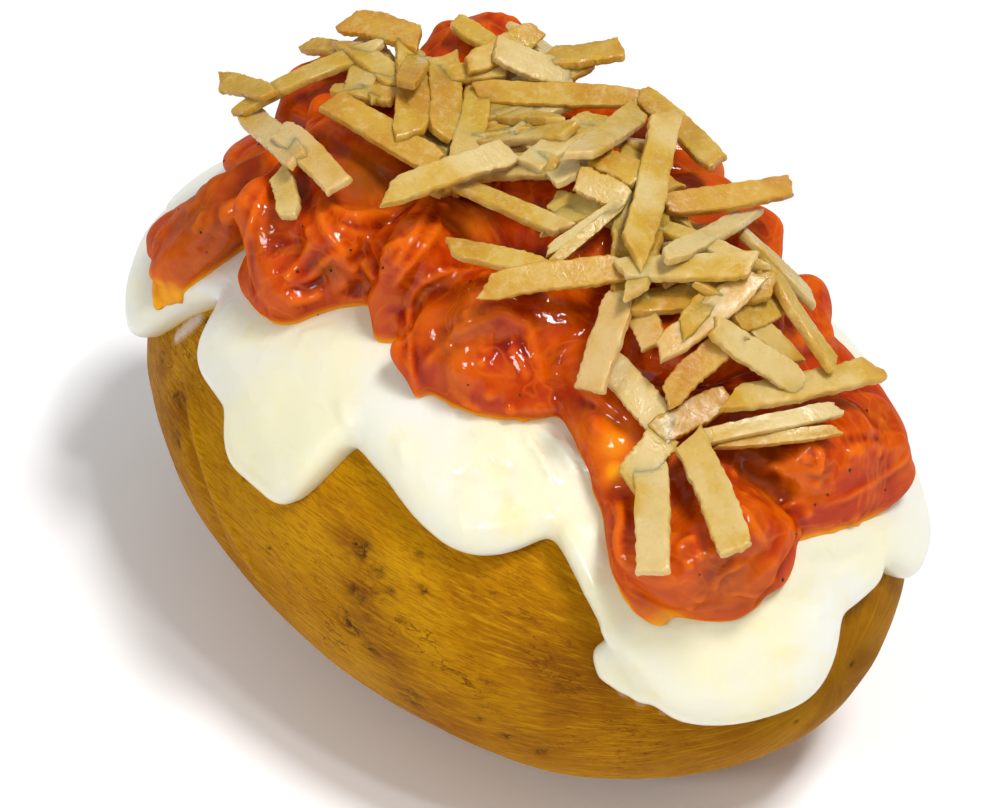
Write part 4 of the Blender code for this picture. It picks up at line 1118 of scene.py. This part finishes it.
def straw_finish():
    material, tree, shader = new_material("potato_straws")
    patches = noise_node(tree, 230, detail=6, roughness=0.7)
    drift = ramp(tree, noise_node(tree, 85, detail=2), (0.38, 0.0), (0.62, 1.0))
    patches = mix(tree, 0.5, patches, drift)
    tone = attribute_node(tree, "tone")
    shade = node(tree, "ShaderNodeMath", {0: tone, 1: patches}, operation="ADD").outputs["Value"]
    shade = node(tree, "ShaderNodeMath", {0: shade, 1: 0.5}, operation="MULTIPLY").outputs["Value"]
    colour = ramp(tree, shade, (0.30, STRAW_PALE), (0.50, STRAW_GOLD), (0.70, STRAW_BROWN))
    frost = noise_node(tree, 700, detail=4, roughness=0.7)
    colour = cover(tree, colour, STRAW_PALE, frost, (0.50, 0.0), (0.66, 0.5))
    toast = ramp(tree, attribute_node(tree, "rim"), (0.78, 0.0), (0.96, 0.9))
    toast = times(tree, toast, ramp(tree, tone, (0.3, 0.35), (0.8, 1.0)))
    grain = ramp(tree, noise_node(tree, 450, detail=4), (0.40, 0.1), (0.60, 1.0))
    colour = mix(tree, times(tree, toast, grain), colour, STRAW_BROWN)
    colour = cover(tree, colour, STRAW_TOAST, noise_node(tree, 2600, detail=2), (0.68, 0.0), (0.76, 0.4))
    colour = mix(tree, attribute_node(tree, "stain"), colour, STRAW_STAIN)
    fine = bump(tree, noise_node(tree, 1700, detail=3, roughness=0.6), 0.35, 0.00025)
    coarse = bump(tree, noise_node(tree, 520, detail=2, roughness=0.5), 0.3, 0.0004, fine)
    rough = ramp(tree, noise_node(tree, 400, detail=2), (0.4, 0.22), (0.6, 0.5))
    plug(tree, shader, {
        "Base Color": colour, "Roughness": rough, "Specular IOR Level": 0.35, "Normal": coarse,
        "Subsurface Weight": 0.5, "Subsurface Radius": (1.0, 0.88, 0.65), "Subsurface Scale": 0.0022,
    })
    return material


straws = straw_places([*filler_straws(), *STRAWS])
straw_material = straw_finish()
lay_kinds(straws, strip_kind, STRIP_KINDS, STRIP_SEED, STRAW_WOBBLE, straw_material)
serve(straws, straw_material, "potato_straws", "straws", sharpest=STRAW_SHARPEST)

# ---------------------------------------------------------------- pepper
# Ground black pepper, stirred into the sauce and sprinkled over the dish: angular specks, half sunk in what
# they lie on.

PEPPER_SPECKS = 60
PEPPER_KINDS = 5
PEPPER_SIZE = (0.2, 0.36)  # half a speck's length
PEPPER_SHAPE = Vector((1, 0.8, 0.7))
PEPPER_LUMP = (0.7, 1.15)
PEPPER_FACING = -0.1  # how far up the sauce's normal must point for a speck to lie there
PEPPER_SHARPEST = math.radians(30)
PEPPER_SEED = 21
# Specks that the photograph shows.
PEPPER_SEEN = (
    (-13.3, -24.4, 75.5), (-32.6, -28.6, 61.8), (-7.4, -24.7, 71.3), (-5.2, -23.2, 69.7),
    (2.4, -23.5, 76.6), (62.9, 12.5, 54.8), (-16.6, -34.5, 54.3), (-9.2, -25.6, 62.8), (-5.5, -22.7, 74.9),
    (62.9, -22.5, 59.9), (64.3, -16.3, 62.2), (61.9, -0.2, 58.6), (62.6, 5.4, 61.9), (27.3, -21.3, 68.1),
    (21.8, -25.6, 68.8),
)


def speck_kind(name, draw):
    data = bmesh.new()
    bmesh.ops.create_icosphere(data, subdivisions=1, radius=1.0)
    for vert in data.verts:
        vert.co = vert.co * draw.uniform(*PEPPER_LUMP) * PEPPER_SHAPE
    return mesh_object(name, data)


def speck_places():
    """Points on the sauce: some scattered over it, and the ones that the photograph shows."""
    facing_up = points_of(sauce.data, "normal")[:, 2] > PEPPER_FACING
    places = points_of(sauce.data)[facing_up] / MM
    draw = random.Random(PEPPER_SEED)
    scattered = [places[draw.randrange(len(places))] for _ in range(PEPPER_SPECKS)]
    mound = tree_of(sauce.data, 1 / MM)
    spots = [mound.find_nearest(Vector(place))[0] for place in (*scattered, *PEPPER_SEEN)]
    draw = random.Random(PEPPER_SEED)
    turns = [[draw.uniform(0, 2 * math.pi) for _ in range(3)] for _ in spots]
    sizes = [[draw.uniform(*PEPPER_SIZE)] * 3 for _ in spots]
    kinds = [draw.randrange(PEPPER_KINDS) for _ in spots]
    return points_object("black_pepper", spots, turns, sizes, kinds)


PEPPER_BLACK = (0.035, 0.018, 0.010)
PEPPER_BROWN = (0.16, 0.060, 0.020)


def pepper_finish():
    material, tree, shader = new_material("black_pepper")
    grain = noise_node(tree, 1500, detail=3)
    plug(tree, shader, {
        "Base Color": ramp(tree, grain, (0.42, PEPPER_BLACK), (0.68, PEPPER_BROWN)),
        "Roughness": 0.6, "Specular IOR Level": 0.1, "Normal": bump(tree, grain, 0.4, 0.0001),
    })
    return material


pepper = speck_places()
pepper_material = pepper_finish()
lay_kinds(pepper, speck_kind, PEPPER_KINDS, PEPPER_SEED, 0.0, pepper_material)
serve(pepper, pepper_material, "sauce", sharpest=PEPPER_SHARPEST)

# ---------------------------------------------------------------- floor, lights and camera
# A pale floor under a dome that is bright overhead and dim towards the horizon. A small light high on the
# right throws the shadow, one in front makes glints, and one on the left fills in. Here lengths are in metres.

FLOOR_HALF = 1.6
SOFTBOX_TARGET = Vector((0, 0, 0.05))
CAMERA_DISTANCE = 0.6002
CAMERA_AZIMUTH = math.radians(47.76)
CAMERA_ELEVATION = math.radians(37.95)
CAMERA_TARGET = Vector((-0.0076, 0.00683, 0.03166))
CAMERA_LENS = 147.28
CAMERA_SENSOR = 36.0

floor_data = bmesh.new()
bmesh.ops.create_grid(floor_data, x_segments=1, y_segments=1, size=FLOOR_HALF)
floor = mesh_object("floor", floor_data)
floor_material, floor_tree, floor_shader = new_material("floor")
plug(floor_tree, floor_shader, {
    "Base Color": (0.96, 0.96, 0.96, 1), "Roughness": 0.9, "Specular IOR Level": 0.1,
})
floor.data.materials.append(floor_material)

world = bpy.data.worlds.new("studio")
bpy.context.scene.world = world
world.use_nodes = True
sky = world.node_tree
look = node(sky, "ShaderNodeTexCoord").outputs["Generated"]
height = node(sky, "ShaderNodeSeparateXYZ", {"Vector": look}).outputs["Z"]
dome = ramp(sky, height, (0.0, 0.22), (0.5, 0.40), (1.0, 0.50))
plug(sky, sky.nodes["Background"], {"Color": dome, "Strength": 0.95})


def softbox(name, place, size, power):
    """A square light that faces the potato's middle."""
    light = bpy.data.lights.new(name, "AREA")
    light.size = size
    light.energy = power
    obj = add_object(name, light)
    obj.location = place
    obj.rotation_euler = (SOFTBOX_TARGET - Vector(place)).to_track_quat("-Z", "Y").to_euler()
    return obj


key = softbox("key", (0.45, 0.10, 1.15), 0.24, 10.0)
glint = softbox("glint", (0.45, -0.10, 0.80), 0.06, 1.2)
fill = softbox("fill", (0.10, -0.95, 0.60), 0.18, 3.4)

lens = bpy.data.cameras.new("camera")
lens.lens = CAMERA_LENS
lens.sensor_width = CAMERA_SENSOR
lens.clip_start = 0.01
camera = add_object("camera", lens)
back = Vector((
    math.sin(CAMERA_AZIMUTH) * math.cos(CAMERA_ELEVATION),
    -math.cos(CAMERA_AZIMUTH) * math.cos(CAMERA_ELEVATION),
    math.sin(CAMERA_ELEVATION),
))
camera.location = CAMERA_TARGET + back * CAMERA_DISTANCE
camera.rotation_euler = (-back).to_track_quat("-Z", "Y").to_euler()
bpy.context.scene.camera = camera
bpy.context.scene.view_settings.view_transform = "Standard"
